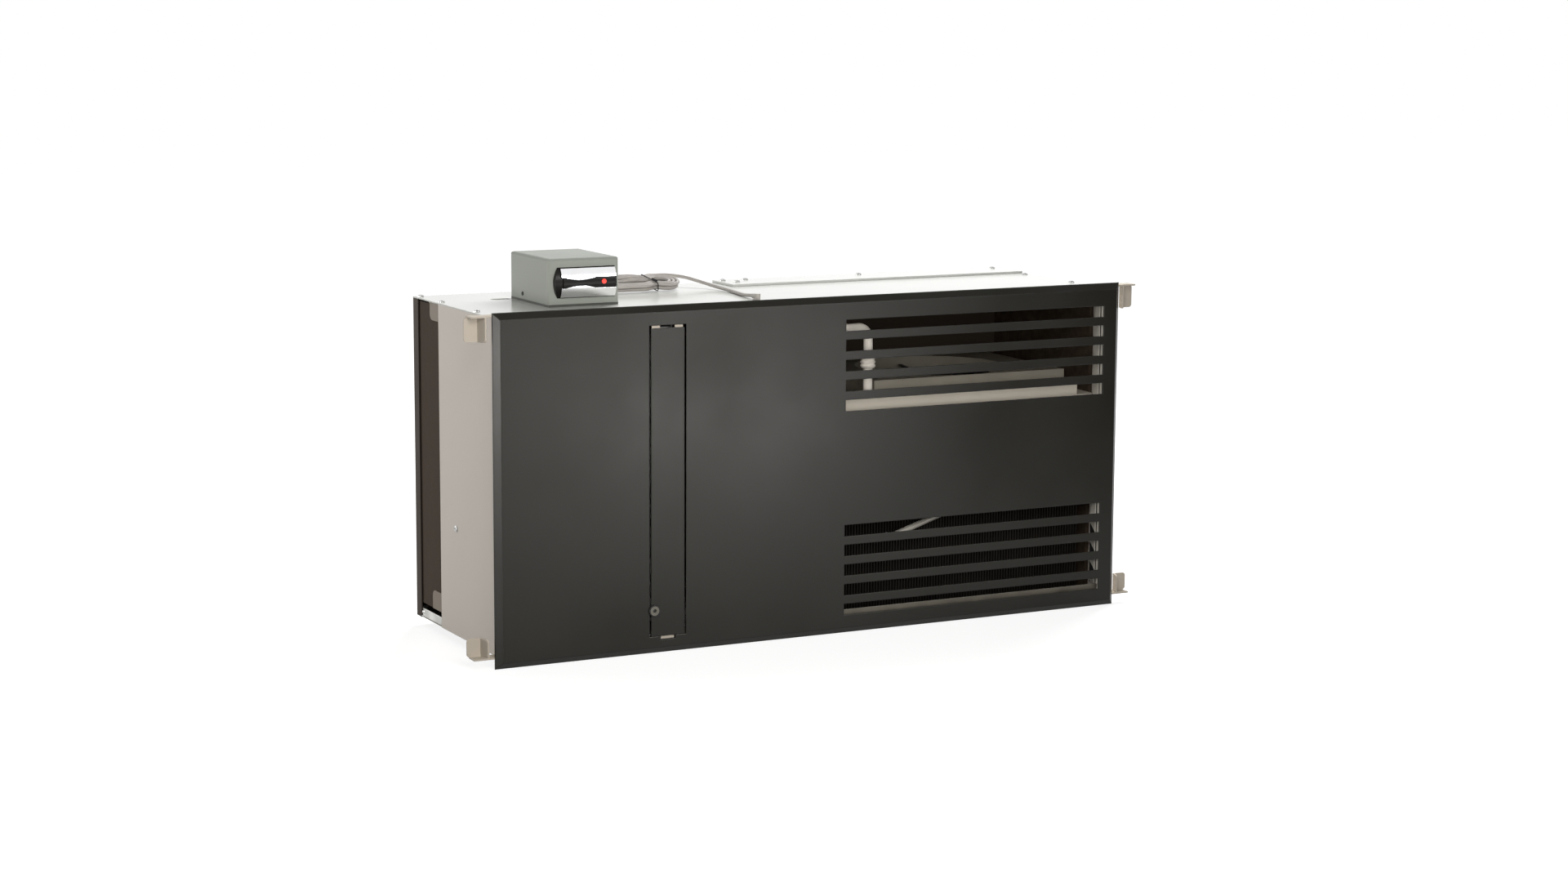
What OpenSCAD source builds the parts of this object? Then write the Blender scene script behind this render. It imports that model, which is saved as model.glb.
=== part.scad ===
// Through-wall enclosure cooling unit with a controller box on a coiled lead, in millimetres.
// X runs across the front panel, Y from the front to the back and Z up.
// The origin is the centre of the footprint, on the surface that the unit stands on.

/* [Front panel] */
// Width of the front panel across its outline
panel_w = 889; // [880:1:930]
// Height of the front panel
panel_h = 433; // [430:1:460]
// Depth and width of the bevel round the face
bevel = 8; // [6:1:12]
// Sheet thickness of the front panel
panel_t = 1.5; // [1.2:0.1:2]
// Width of the return flange behind the panel
panel_lip = 20; // [15:1:22]

/* [Housing] */
// Width over the side panels
body_w = 871; // [860:1:872]
// Depth from the panel's flange to the rear face
body_d = 288; // [284:1:320]
// Height of the housing without its feet
body_h = 413; // [408:1:415]
// Height of the rubber feet
foot_h = 12; // [8:1:14]
// Sheet thickness of the housing
sheet_t = 1.5; // [1.2:0.1:1.8]
// Width of the flanges that the panels are screwed to
flange_w = 15; // [12:1:16]
// Depth of the open bay at the rear of the left side
bay_d = 88; // [70:1:95]
// Depth of the rear panel's side returns
return_d = 17; // [12:1:20]
// Height of the base pan's upturned edge
base_lip = 18; // [14:1:20]
// Diameter of a rubber foot
foot_dia = 32; // [24:1:40]
// Distance of the feet from the housing's sides
foot_inset_x = 66; // [50:1:90]
// Distance of the feet from the housing's front and back
foot_inset_y = 42; // [30:1:60]

/* [Grilles] */
// Left edge of both grilles
grille_x = 31; // [20:1:35]
// Width of both grilles
grille_w = 386; // [360:1:388]
// Number of air slots in a grille
slot_count = 5; // [3:1:5]
// Height of an air slot
slot_h = 14.5; // [10:0.5:15]
// Height of the strip between two slots
slat_h = 11; // [8:0.5:11.5]
// Lower edge of the upper grille
upper_z = 287; // [284:1:290]
// Lower edge of the lower grille
lower_z = 24.5; // [22:0.5:28]

/* [Filter cassette] */
// Middle of the access strip
strip_x = -217; // [-222:1:-212]
// Width of the opening for the cassette
strip_open_w = 50; // [46:1:54]
// Gap on each side of the access strip
strip_gap = 2.5; // [1.5:0.5:3]
// Lower edge of the cassette's opening
strip_z = 22; // [20:1:24]
// Height of the cassette's opening
strip_open_h = 387; // [380:1:389]
// Thickness of the filter frame
filter_t = 20; // [16:1:21]
// Space between the filter frame and the rear panel
filter_clear = 55.8; // [52:0.1:90]
// Width of the filter frame's rim
filter_rim = 12; // [8:1:16]
// Diameter of the retaining screw's head
lock_dia = 14; // [12:1:15]
// Height of the retaining screw above the opening's lower edge
lock_up = 33; // [28:1:60]

/* [Cold side] */
// Left face of the insulated partition
wall_x = -52; // [-56:1:-48]
// Thickness of the insulated partition
wall_t = 25; // [20:1:28]
// Height of the drain pan's rim
pan_rim = 9; // [6:1:9]
// Thickness of the evaporator coil
evap_t = 44; // [36:1:46]
// Distance of the evaporator coil behind the panel's flange
evap_back = 84.2; // [82:0.1:100]
// Distance from the side panel's outer face to the coil
evap_inset = 12; // [8:1:14]
// Number of fins on the evaporator
evap_fins = 48; // [30:1:60]
// Space between the evaporator fan's opening and the rear panel
evap_fan_clear = 24.5; // [18:0.5:32]
// Diameter of the evaporator fan's blades
evap_fan_dia = 196; // [160:1:200]

/* [Hot side] */
// Height of the divider shelf's underside
shelf_z = 281; // [279:1:283]
// Distance of the shelf's front flange behind the panel's flange
shelf_back = 30; // [26:1:34]
// Height of the shelf's front flange
shelf_lip = 18; // [14:1:20]
// Right end of the shelf's front flange
shelf_lip_x = 402; // [390:1:410]
// Middle of the condenser fan across the unit
cond_fan_x = 255; // [248:1:262]
// Width of the condenser fan's frame
cond_frame_w = 290; // [270:1:300]
// Distance of the condenser fan's frame behind the panel's flange
cond_frame_back = 60; // [57:1:64]
// Space between the condenser fan's frame and the rear panel
cond_frame_clear = 16.5; // [14:0.5:20]
// Narrowest rim of the condenser fan's frame
cond_frame_rim = 3; // [2:0.5:6]
// Height of the condenser fan's frame
cond_frame_h = 31; // [28:1:34]
// Distance of the condenser coil behind the panel's flange
cond_back = 42; // [38:1:44]
// Thickness of the condenser coil
cond_t = 40; // [30:1:42]
// Height of the condenser coil
cond_h = 186; // [160:1:200]
// Number of fins on the condenser
cond_fins = 90; // [60:1:100]
// Space between the condenser coil and the compressor
comp_front_clear = 26; // [24:1:30]
// Space between the compressor and the rear panel
comp_rear_clear = 34.5; // [30:0.5:40]
// Height of the compressor's shell
comp_h = 178; // [160:1:190]
// Middle of the compressor across the unit
comp_x = 330; // [325:1:334]
// Diameter of the white suction line
suction_dia = 12; // [10:1:13]
// Diameter of the discharge line
discharge_dia = 8; // [6:1:9]

/* [Corner ears] */
// How far an ear reaches out from the panel's edge
ear_reach = 30; // [26:0.5:36]
// Height of the flange of a top ear
ear_top_h = 30; // [24:1:34]
// Height of the flange of a low ear
ear_low_h = 23; // [18:1:28]
// Depth of an ear from front to back
ear_d = 16; // [14:1:24]
// Width of an ear's front-facing flange
ear_flange_w = 18.5; // [15:0.5:22]
// Sheet thickness of an ear
ear_t = 2; // [1.5:0.1:2.5]

/* [Controller] */
// Width of the controller box
ctl_w = 96; // [92:1:110]
// Depth of the controller box
ctl_d = 122; // [90:1:122]
// Height of the controller box
ctl_h = 60; // [52:1:70]
// Middle of the controller box across the unit
ctl_x = -284; // [-286:1:-283]
// Distance of the controller's face behind the panel's flange
ctl_back = 94; // [80:1:94]
// Wall of the controller box
ctl_wall = 1.6; // [1.2:0.1:2]
// Thickness of the controller's base plate
ctl_base = 3; // [2:0.5:4]
// Radius on the edges of the controller box
ctl_round = 5; // [3:0.5:7]
// Width of the display pod
pod_w = 77; // [70:1:77]
// Height of the display pod
pod_h = 38; // [34:1:40]
// Height of the bulge on the pod's face
pod_bulge = 6; // [4:0.5:8]
// Travel of the controller's two keys
key_travel = 0.6; // [0.4:0.1:0.6]
// Diameter of the red lamp
lamp_dia = 6; // [5:0.5:6]

/* [Cable] */
// Diameter of the controller's lead
cable_dia = 4.5; // [4.5:0.1:4.6]
// Half length of the straight runs in the coiled lead
hank_half = 34; // [32:1:36]
// Radius of the inner turn of the coiled lead
hank_r = 16; // [15.5:0.5:17]

/* [Hidden] */
$fn = 48;
// Overrun of a cut past the face that it opens
cut = 1;
// Clearance between pieces that pass each other
slip = 0.3;
// Radial clearance of a shaft or pin in its bore
run = 0.05;
// Radial clearance of a screw's shank in its hole
loose = 0.1;

// Planes of the housing
y_lip = -(body_d - bevel) / 2;
y_face = y_lip - bevel;
y_back = y_lip + body_d;
y_in = y_back - sheet_t;
z_top = foot_h + body_h;
z_floor = foot_h + sheet_t;
z_ceil = z_top - sheet_t;
x_side = body_w / 2;
x_in = x_side - sheet_t;
y_bay = y_back - bay_d;
y_return = y_back - return_d;
wall_right = wall_x + wall_t;

// Pan-head screws of the housing
screw_dia = 4;
screw_head = 8.5;
screw_head_h = 2.2;
screw_len = 8;
screw_slot = 1.2;
screw_inset = 7.5;
strip_cover_x = -12;
strip_cover_d = 62;
strip_cover_t = 3;
cover_screw_shares = [0.31, 0.36, 0.72];
// Screws of the raised strip, as shares of the housing's half width and of the strip's depth
strip_screw_shares = [[-0.0046, 0.177], [0.0184, 0.548], [0.0712, 0.194], [0.4684, 0.194], [0.9575, 0.194]];
side_screw_z_share = 0.33;
side_screw_back = 145;

// Corner to corner block
module span(a, b) {
    translate(a) cube(b - a);
}
// Cylinder from a to b
module rod(a, b, r) {
    d = b - a;
    len = norm(d);
    translate(a) rotate([0, acos(d.z / len), atan2(d.y, d.x)]) cylinder(h = len, r = r);
}
// Rectangle with round corners, centred
module round_rect(w, h, r) {
    square([w - 2 * r, h], center = true);
    square([w, h - 2 * r], center = true);
    for (sx = [-1, 1], sz = [-1, 1]) translate([sx * (w / 2 - r), sz * (h / 2 - r)]) circle(r);
}
// Extrudes an outline drawn in X and Z along Y, from y0 to y1
module along_y(y0, y1) {
    translate([0, y1, 0]) rotate([90, 0, 0]) linear_extrude(y1 - y0) children();
}
// Extrudes an outline drawn in Y and Z along X, from x0 to x1
module along_x(x0, x1) {
    translate([x0, 0, 0]) rotate([90, 0, 90]) linear_extrude(x1 - x0) children();
}
function unit(v) = v / norm(v);
// Sides of a bent tube
tube_sides = 24;
// Tube with straight runs between the points and round bends at them
module pipe(pts, r, bend, sides = tube_sides) {
    $fn = sides;
    last = len(pts) - 1;
    trims = [for (i = [0:last]) i == 0 || i == last ? 0 :
        bend * tan(acos(unit(pts[i] - pts[i - 1]) * unit(pts[i + 1] - pts[i])) / 2)];
    for (i = [0:last - 1]) {
        d = unit(pts[i + 1] - pts[i]);
        rod(pts[i] + d * trims[i], pts[i + 1] - d * trims[i + 1], r);
    }
    for (i = [1:last - 1])
        elbow(pts[i], unit(pts[i] - pts[i - 1]), unit(pts[i + 1] - pts[i]), r, bend, trims[i]);
}
// Round bend at point p from direction a to direction b
module elbow(p, a, b, r, bend, trim) {
    n = unit(cross(a, b));
    tilt = acos(n.z);
    turn = abs(n.x) + abs(n.y) < 1e-9 ? 0 : atan2(n.y, n.x);
    e1 = [cos(tilt) * cos(turn), cos(tilt) * sin(turn), -sin(tilt)];
    e2 = [-sin(turn), cos(turn), 0];
    out = cross(a, n);
    centre = p - a * trim - out * bend;
    translate(centre) rotate([0, tilt, turn]) rotate([0, 0, atan2(out * e2, out * e1)])
        rotate_extrude(angle = acos(a * b)) translate([bend, 0]) circle(r);
}
// Pan-head screw pointing down from the origin, with a cross recess
module pan_screw(dia, head, head_h, length) {
    difference() {
        union() {
            cylinder(h = head_h / 2, d = head);
            translate([0, 0, head_h / 2]) cylinder(h = head_h / 2, d1 = head, d2 = head * head_top_share);
        }
        for (a = [0, 90]) rotate([0, 0, a]) translate([-head / 4, -screw_slot / 2, head_h / 2])
            cube([head / 2, screw_slot, head_h]);
    }
    translate([0, 0, -length]) cylinder(h = length, d = dia - 2 * loose);
}
head_top_share = 0.7;

// Bevelled slab that the panel and its cavity are made from
module bevelled(half_w, z0, z1, y0, y1) {
    run_in = y1 - y0;
    intersection() {
        translate([0, 0, z0]) linear_extrude(z1 - z0) polygon([[-half_w, y1], [half_w, y1],
            [half_w - run_in, y0], [-half_w + run_in, y0]]);
        along_x(-half_w, half_w) polygon([[y1, z0], [y1, z1], [y0, z1 - run_in], [y0, z0 + run_in]]);
    }
}
fold = panel_t * (sqrt(2) + 1);
notch_w = 20;
notch_h = 4;
module grille_slots(z0) {
    for (i = [0:slot_count - 1]) translate([grille_x, y_face - cut, z0 + i * (slot_h + slat_h)])
        cube([grille_w, panel_t + 2 * cut, slot_h]);
}
module front_panel() color([0.27, 0.27, 0.26]) {
    difference() {
        bevelled(panel_w / 2, 0, panel_h, y_face, y_lip);
        bevelled(panel_w / 2 - fold, fold, panel_h - fold, y_face + panel_t, y_lip - panel_t);
        span([-panel_w / 2 + panel_lip, y_lip - panel_t - cut, panel_lip],
            [panel_w / 2 - panel_lip, y_lip + cut, panel_h - panel_lip]);
        grille_slots(upper_z);
        grille_slots(lower_z);
        span([strip_x - strip_open_w / 2, y_face - cut, strip_z],
            [strip_x + strip_open_w / 2, y_lip + cut, strip_z + strip_open_h]);
        span([strip_x - notch_w / 2, y_face - cut, strip_z - notch_h],
            [strip_x + notch_w / 2, y_lip + cut, strip_z + cut]);
    }
}

foot_places = [for (sx = [-1, 1], sy = [0, 1]) [sx * (x_side - foot_inset_x),
    sy == 0 ? y_lip + foot_inset_y : y_back - foot_inset_y, 0]];
foot_screw = 6;
fix_hole = 6.6;
fix_x = 150;
fix_front = 22;
fix_rear = 62;
module base_pan() color([0.72, 0.72, 0.7]) {
    difference() {
        union() {
            span([-x_in, y_lip, foot_h], [x_in, y_in, z_floor]);
            span([-x_side + flange_w + slip, y_lip, foot_h],
                [x_side - flange_w - slip, y_lip + sheet_t, foot_h + base_lip]);
            for (p = rear_screw_places) span([p.x - screw_head, y_in - sheet_t, foot_h],
                [p.x + screw_head, y_in, foot_h + base_lip]);
        }
        span([strip_x - strip_open_w / 2, y_lip - cut, z_floor],
            [strip_x + strip_open_w / 2, y_lip + sheet_t + cut, z_top]);
        for (p = rear_screw_places) translate(p + [0, cut, 0]) rotate([90, 0, 0])
            cylinder(h = 2 * cut + 2 * sheet_t, d = screw_dia);
        for (p = foot_places) translate(p) cylinder(h = z_floor + cut, d = foot_screw + 2 * loose);
        for (sx = [-1, 1], y = [y_lip + fix_front, y_back - fix_rear])
            translate([sx * fix_x, y, 0]) cylinder(h = z_floor + cut, d = fix_hole);
        for (p = comp_feet) translate(p) cylinder(h = z_floor + cut, d = comp_bolt);
        translate([drain_x, y_back - drain_in, 0]) cylinder(h = z_floor + cut, d = drain_neck);
    }
}
foot_top_share = 0.85;
module rubber_feet() color([0.08, 0.08, 0.08]) {
    for (p = foot_places) translate(p) {
        cylinder(h = foot_h, d1 = foot_dia * foot_top_share, d2 = foot_dia);
        cylinder(h = foot_h + sheet_t, d = foot_screw);
    }
}

// Holes for the screws that hold the top cover
left_screws = [for (y = [y_lip + cover_screw_shares[0] * body_d, y_lip + cover_screw_shares[2] * body_d,
    y_back - screw_inset]) [-x_side + screw_inset, y, z_top]];
right_screws = [for (s = [cover_screw_shares[0], cover_screw_shares[2]])
    [x_side - screw_inset, y_lip + s * body_d, z_top]];
wall_screws = [[wall_x + wall_t / 2, y_lip + cover_screw_shares[1] * body_d, z_top]];
strip_screws = [for (s = strip_screw_shares) [s.x * x_side, y_back - s.y * strip_cover_d, z_top]];
module cover_holes() {
    for (p = concat(left_screws, right_screws, wall_screws, strip_screws))
        translate(p - [0, 0, screw_len + cut])
            cylinder(h = screw_len + strip_cover_t + 2 * cut, d = screw_dia);
}
module cover_screws() color([0.8, 0.8, 0.8]) {
    for (p = concat(left_screws, right_screws, wall_screws)) translate(p)
        pan_screw(screw_dia, screw_head, screw_head_h, screw_len);
    for (p = strip_screws) translate(p + [0, 0, strip_cover_t])
        pan_screw(screw_dia, screw_head, screw_head_h, screw_len);
}
slot_x = -347;
slot_w = 27;
slot_d = 14;
slot_back = 211;
gland_x = -54;
gland_back = 72;
gland_pin = 6;
// Cover with the lead's gland and a slot by the controller
module top_cover() color([0.86, 0.87, 0.85]) {
    difference() {
        span([-x_side, y_lip, z_ceil], [x_side, y_back, z_top]);
        cover_holes();
        translate([slot_x, y_lip + slot_back, z_ceil - cut]) linear_extrude(sheet_t + 2 * cut)
            round_rect(slot_w, slot_d, slot_d / 2 - slip);
        translate([gland_x, y_lip + gland_back, z_ceil - cut])
            cylinder(h = sheet_t + 2 * cut, d = gland_pin + 2 * loose);
    }
}
module top_rear_strip() color([0.9, 0.9, 0.88]) {
    difference() {
        span([strip_cover_x, y_back - strip_cover_d, z_top], [x_side, y_back, z_top + strip_cover_t]);
        cover_holes();
    }
}

tab_top_d = 32;
tab_top_h = 21;
tab_low_z = 31;
tab_low_h = 24;
tab_low_d = 33;
tab_round = 8;
side_screw_z = foot_h + side_screw_z_share * body_h;
module side_shell(y_end, y_flange) {
    span([-x_side, y_lip, foot_h], [-x_in, y_end, z_ceil]);
    span([-x_side, y_lip, z_floor], [-x_side + flange_w, y_lip + sheet_t, z_ceil]);
    span([-x_side, y_lip, z_ceil - sheet_t], [-x_side + flange_w, y_flange, z_ceil]);
}
// Tab in the side panel's plane, round at its lower or upper rear corner
module side_tab(y0, y1, z0, z1, round_z) {
    along_x(-x_in - cut / 2, -x_in + sheet_t) difference() {
        polygon([[y0, z0], [y1, z0], [y1, z1], [y0, z1]]);
        translate([y1, round_z]) square(2 * tab_round, center = true);
    }
    translate([0, y1 - tab_round, round_z + (round_z == z0 ? tab_round : -tab_round)])
        along_x(-x_in - cut / 2, -x_in + sheet_t) circle(tab_round);
}
module left_side_panel() color([0.76, 0.73, 0.69]) {
    difference() {
        union() {
            side_shell(y_bay, y_bay + tab_top_d);
            side_tab(y_bay - flange_w, y_bay + tab_top_d, z_ceil - sheet_t - tab_top_h, z_ceil - sheet_t,
                z_ceil - sheet_t - tab_top_h);
            side_tab(y_bay - flange_w, y_bay + tab_low_d, tab_low_z, tab_low_z + tab_low_h,
                tab_low_z + tab_low_h);
        }
        cover_holes();
        translate([-x_side - cut, y_lip + side_screw_back, side_screw_z]) rotate([0, 90, 0])
            cylinder(h = flange_w, d = screw_dia);
    }
}
module right_side_panel() color([0.76, 0.73, 0.69]) {
    difference() {
        mirror([1, 0, 0]) side_shell(y_return, y_return);
        cover_holes();
        translate([x_side + cut, y_lip + side_screw_back, side_screw_z]) rotate([0, -90, 0])
            cylinder(h = flange_w, d = screw_dia);
    }
}
module side_screws() color([0.7, 0.7, 0.7]) {
    for (s = [-1, 1]) translate([s * x_side, y_lip + side_screw_back, side_screw_z])
        rotate([0, s * 90, 0]) pan_screw(screw_dia, screw_head, screw_head_h, screw_len / 2);
    for (p = rear_screw_places) translate(p) rotate([-90, 0, 0])
        pan_screw(screw_dia, screw_head, screw_head_h, 2 * sheet_t);
}

vent_x0 = -172;
vent_w = 90;
vent_slots = 9;
vent_slot_h = 12;
vent_pitch = 24;
vent_z = 110;
inlet_x = 390;
inlet_z = 60;
inlet_w = 27;
inlet_h = 20;
rear_screw_inset = 40;
rear_screw_places = [for (sx = [-1, 0, 1])
    [sx * (x_side - rear_screw_inset), y_back, foot_h + screw_inset + sheet_t]];
module rear_panel() color([0.2, 0.19, 0.18]) {
    difference() {
        union() {
            span([-x_side, y_in, foot_h], [x_side, y_back, z_ceil]);
            for (m = [0, 1]) mirror([m, 0, 0])
                span([x_in, y_return + slip, foot_h], [x_side, y_back, z_ceil]);
            span([-x_in, y_back - flange_w, z_ceil - sheet_t], [x_in - slip, y_back, z_ceil]);
        }
        cover_holes();
        for (i = [0:vent_slots - 1]) translate([vent_x0, y_in - cut, vent_z + i * vent_pitch])
            cube([vent_w, sheet_t + 2 * cut, vent_slot_h]);
        for (p = rear_screw_places) translate(p + [0, cut, 0]) rotate([90, 0, 0])
            cylinder(h = 2 * cut + sheet_t, d = screw_dia);
        span([inlet_x - inlet_w / 2 - slip, y_in - cut, inlet_z - inlet_h / 2 - slip],
            [inlet_x + inlet_w / 2 + slip, y_back + cut, inlet_z + inlet_h / 2 + slip]);
    }
}

ear_x = panel_w / 2 + ear_reach;
ear_round = 4;
ear_lean = 5;
ear_tab = 8;
// Ear at the right of the panel, with its plate at z0 and a flange of height h on the side given by up
module ear(z0, up, h) {
    y1 = y_lip + ear_d;
    x_flange = ear_x - ear_flange_w;
    x_leg = x_flange - ear_lean;
    zc = z0 + up * h / 2;
    span([x_side + slip, y_lip, min(z0, z0 - up * ear_t)],
        [ear_x - ear_round, y1 + ear_t, max(z0, z0 - up * ear_t)]);
    along_y(y1 - ear_t, y1) {
        translate([x_flange + ear_flange_w / 2, zc]) round_rect(ear_flange_w, h, ear_round);
        translate([x_flange + ear_round, zc]) square([2 * ear_round, h], center = true);
    }
    intersection() {
        translate([0, 0, min(z0, z0 + up * h)]) linear_extrude(h)
            polygon([[x_leg, y_lip], [x_leg + ear_t, y_lip], [x_flange + ear_t, y1], [x_flange, y1]]);
        along_x(x_leg - cut, x_flange + ear_t + cut) {
            translate([y_lip + ear_d / 2, zc]) round_rect(ear_d, h, ear_round);
            translate([y_lip + ear_d / 2, z0 + up * ear_round]) square([ear_d, 2 * ear_round], center = true);
            translate([y1 - ear_round, zc]) square([2 * ear_round, h], center = true);
        }
    }
    span([x_side + slip, y_lip, min(z0, z0 + up * h)],
        [x_side + slip + ear_tab, y_lip + ear_t, max(z0, z0 + up * h)]);
}
ear_rise = 2.5;
ear_lift = 2.7;
ear_top_z = z_top + ear_rise;
ear_low_z = foot_h + ear_lift;
module corner_ears() color([0.82, 0.77, 0.7]) {
    for (m = [0, 1]) mirror([m, 0, 0]) {
        ear(ear_top_z, -1, ear_top_h);
        ear(ear_low_z, 1, ear_low_h);
    }
}

module partition_wall() color([0.62, 0.6, 0.55]) {
    difference() {
        span([wall_x, y_lip + sheet_t, z_floor], [wall_right, y_in, z_ceil]);
        cover_holes();
        translate([wall_x - cut, line_y, suction_z]) rotate([0, 90, 0])
            cylinder(h = wall_t + 2 * cut, d = evap_tube + 2 * slip);
        translate([wall_x - cut, line_y, liquid_z]) rotate([0, 90, 0])
            cylinder(h = wall_t + 2 * cut, d = liquid_dia + 2 * slip);
        span([wall_x - cut, y_back - flange_w - slip, z_ceil - sheet_t - slip],
            [wall_right + cut, y_in + cut, z_ceil + cut]);
    }
}
liner_t = 5;
liner_back = 43;
module side_liner() color([0.36, 0.3, 0.24]) {
    difference() {
        span([x_in - liner_t, y_lip + liner_back, z_floor], [x_in, y_in, z_ceil - flange_w]);
        translate([x_in - liner_t - cut, y_lip + side_screw_back, side_screw_z]) rotate([0, 90, 0])
            cylinder(h = liner_t + 2 * cut, d = screw_dia + 2 * slip);
    }
}

pan_t = 1.5;
pan_y1 = y_in - sheet_t - slip;
module drain_pan() color([0.75, 0.75, 0.73]) {
    difference() {
        span([-x_in, y_lip + 2 * sheet_t, z_floor], [wall_x, pan_y1, z_floor + pan_t + pan_rim]);
        span([-x_in + pan_t, y_lip + 2 * sheet_t + pan_t, z_floor + pan_t],
            [wall_x - pan_t, pan_y1 - pan_t, z_floor + pan_t + pan_rim + cut]);
        translate([drain_x, y_back - drain_in, z_floor - cut]) cylinder(h = 2 * cut + pan_t, d = drain_bore);
    }
}
z_pan = z_floor + pan_t;

// Evaporator coil standing behind the open bay in the left side
evap_end = 6;
evap_x = -x_side + evap_inset;
evap_y1 = y_in - slip - evap_end;
evap_y0 = y_lip + evap_back;
evap_z0 = 34;
evap_top_gap = 21;
evap_z1 = z_top - evap_top_gap;
spine_t = 14;
fin_share = 0.35;
// Comb outline of a fin block, from x0 to x1 and y0 to y1, with count fins on a spine
function comb(x0, x1, s0, s1, y0, y1, count) = let (pitch = (y1 - y0) / count, thick = pitch * fin_share)
    concat([for (i = [0:count - 1], k = [0:3]) [k == 0 || k == 3 ? s1 : x1,
        y0 + i * pitch + (k < 2 ? 0 : thick)]],
    [[s1, y1], [s0, y1]],
    [for (i = [count - 1:-1:0], k = [0:3]) [k == 0 || k == 3 ? s0 : x0,
        y0 + i * pitch + (k < 2 ? thick : 0)]]);
evap_plate = 2;
module evaporator_fins() color([0.28, 0.23, 0.2]) {
    spine0 = evap_x + evap_t / 2 - spine_t / 2;
    translate([0, 0, evap_z0]) linear_extrude(evap_z1 - evap_z0)
        polygon(comb(evap_x, evap_x + evap_t, spine0, spine0 + spine_t, evap_y0, evap_y1, evap_fins));
}
module evaporator_end_plates() color([0.5, 0.48, 0.44]) {
    for (y = [evap_y0 - evap_plate, evap_y1])
        span([evap_x, y, z_pan], [evap_x + evap_t, y + evap_plate, z_ceil - sheet_t - slip]);
}
evap_passes = 6;
evap_tube = 10;
cross_back = 54;
cross_y = y_lip + cross_back;
cross_x = -318;
line_in = 26.5;
line_y = y_in - line_in;
// Hairpin bends on the coil's front end plate, with the two headers
module evaporator_tubes() color([0.72, 0.45, 0.3]) {
    pitch = (evap_z1 - evap_z0) / (2 * evap_passes);
    xc = evap_x + evap_t / 2;
    for (i = [0:evap_passes - 2]) translate([xc, evap_y0 - evap_plate, evap_z0 + (2 * i + 1) * pitch])
        rotate([0, 0, 180]) rotate([0, 90, 0]) rotate_extrude(angle = 180) translate([pitch / 2, 0])
            circle(d = evap_tube, $fn = tube_sides);
    for (l = [[suction_z, evap_tube], [liquid_z, liquid_dia]]) pipe([[xc, evap_y0 - evap_plate, l.x],
        [xc, cross_y, l.x], [cross_x, cross_y, l.x], [cross_x, line_y, l.x], [wall_right, line_y, l.x]],
        l.y / 2, evap_tube);
}
shroud_x = -342;
fan_gap = 4;
evap_fan_y = y_in - evap_fan_clear - fan_gap - evap_fan_dia / 2;
evap_fan_z = foot_h + body_h / 2;
module evaporator_shroud() color([0.7, 0.7, 0.68]) {
    difference() {
        span([shroud_x, y_lip + 2 * sheet_t + pan_t, z_pan],
            [shroud_x + sheet_t, pan_y1 - pan_t - slip, z_ceil - slip]);
        translate([shroud_x - cut, evap_fan_y, evap_fan_z]) rotate([0, 90, 0])
            cylinder(h = sheet_t + 2 * cut, d = evap_fan_dia + 2 * fan_gap);
        for (z = [suction_z, liquid_z]) translate([shroud_x - cut, cross_y, z])
            rotate([0, 90, 0]) cylinder(h = sheet_t + 2 * cut, d = evap_tube + 2 * slip);
        span([shroud_x - cut, y_back - flange_w - slip, z_ceil - sheet_t - slip],
            [shroud_x + sheet_t + cut, y_in + cut, z_ceil + cut]);
    }
}
// Fan motor on four arms, drawn about Z with the arms at z = 0 and the shaft pointing up
motor_dia = 74;
motor_h = 46;
shaft_dia = 8;
arm_w = 12;
arm_t = 3;
module fan_motor(ring_r) {
    difference() {
        union() {
            translate([0, 0, -motor_h]) cylinder(h = motor_h, d = motor_dia);
            linear_extrude(arm_t) {
                circle(d = motor_dia);
                for (a = [45, 135]) rotate([0, 0, a]) square([2 * ring_r, arm_w], center = true);
            }
        }
        translate([0, 0, -motor_h / 2]) cylinder(h = motor_h, d = shaft_dia);
    }
}
hub_dia = 62;
hub_h = 20;
blade_count = 5;
blade_t = 2.5;
blade_pitch = 24;
blade_chord = 62;
blade_root_share = 0.8;
hub_gap = 2;
// Blades on a hub, with a shaft that reaches down into the motor
module fan_blade(tip_r) {
    cylinder(h = hub_h, d = hub_dia);
    translate([0, 0, -hub_gap - motor_h / 2]) cylinder(h = motor_h / 2 + hub_gap, r = shaft_dia / 2 - run);
    intersection() {
        cylinder(h = hub_h, r = tip_r);
        for (i = [0:blade_count - 1]) rotate([0, 0, i * 360 / blade_count])
            translate([0, 0, hub_h / 2]) rotate([blade_pitch, 0, 0])
                translate([hub_dia / 2 * blade_root_share, -blade_chord / 2, -blade_t / 2])
                    cube([tip_r, blade_chord, blade_t]);
    }
}
module evaporator_fan_motor() color([0.15, 0.15, 0.15]) {
    translate([shroud_x + sheet_t + arm_t, evap_fan_y, evap_fan_z]) rotate([0, -90, 0])
        fan_motor(evap_fan_dia / 2 + fan_gap + arm_w);
}
module evaporator_fan_blade() color([0.12, 0.12, 0.13]) {
    translate([shroud_x + sheet_t - hub_gap, evap_fan_y, evap_fan_z]) rotate([0, -90, 0])
        fan_blade(evap_fan_dia / 2);
}

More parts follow.
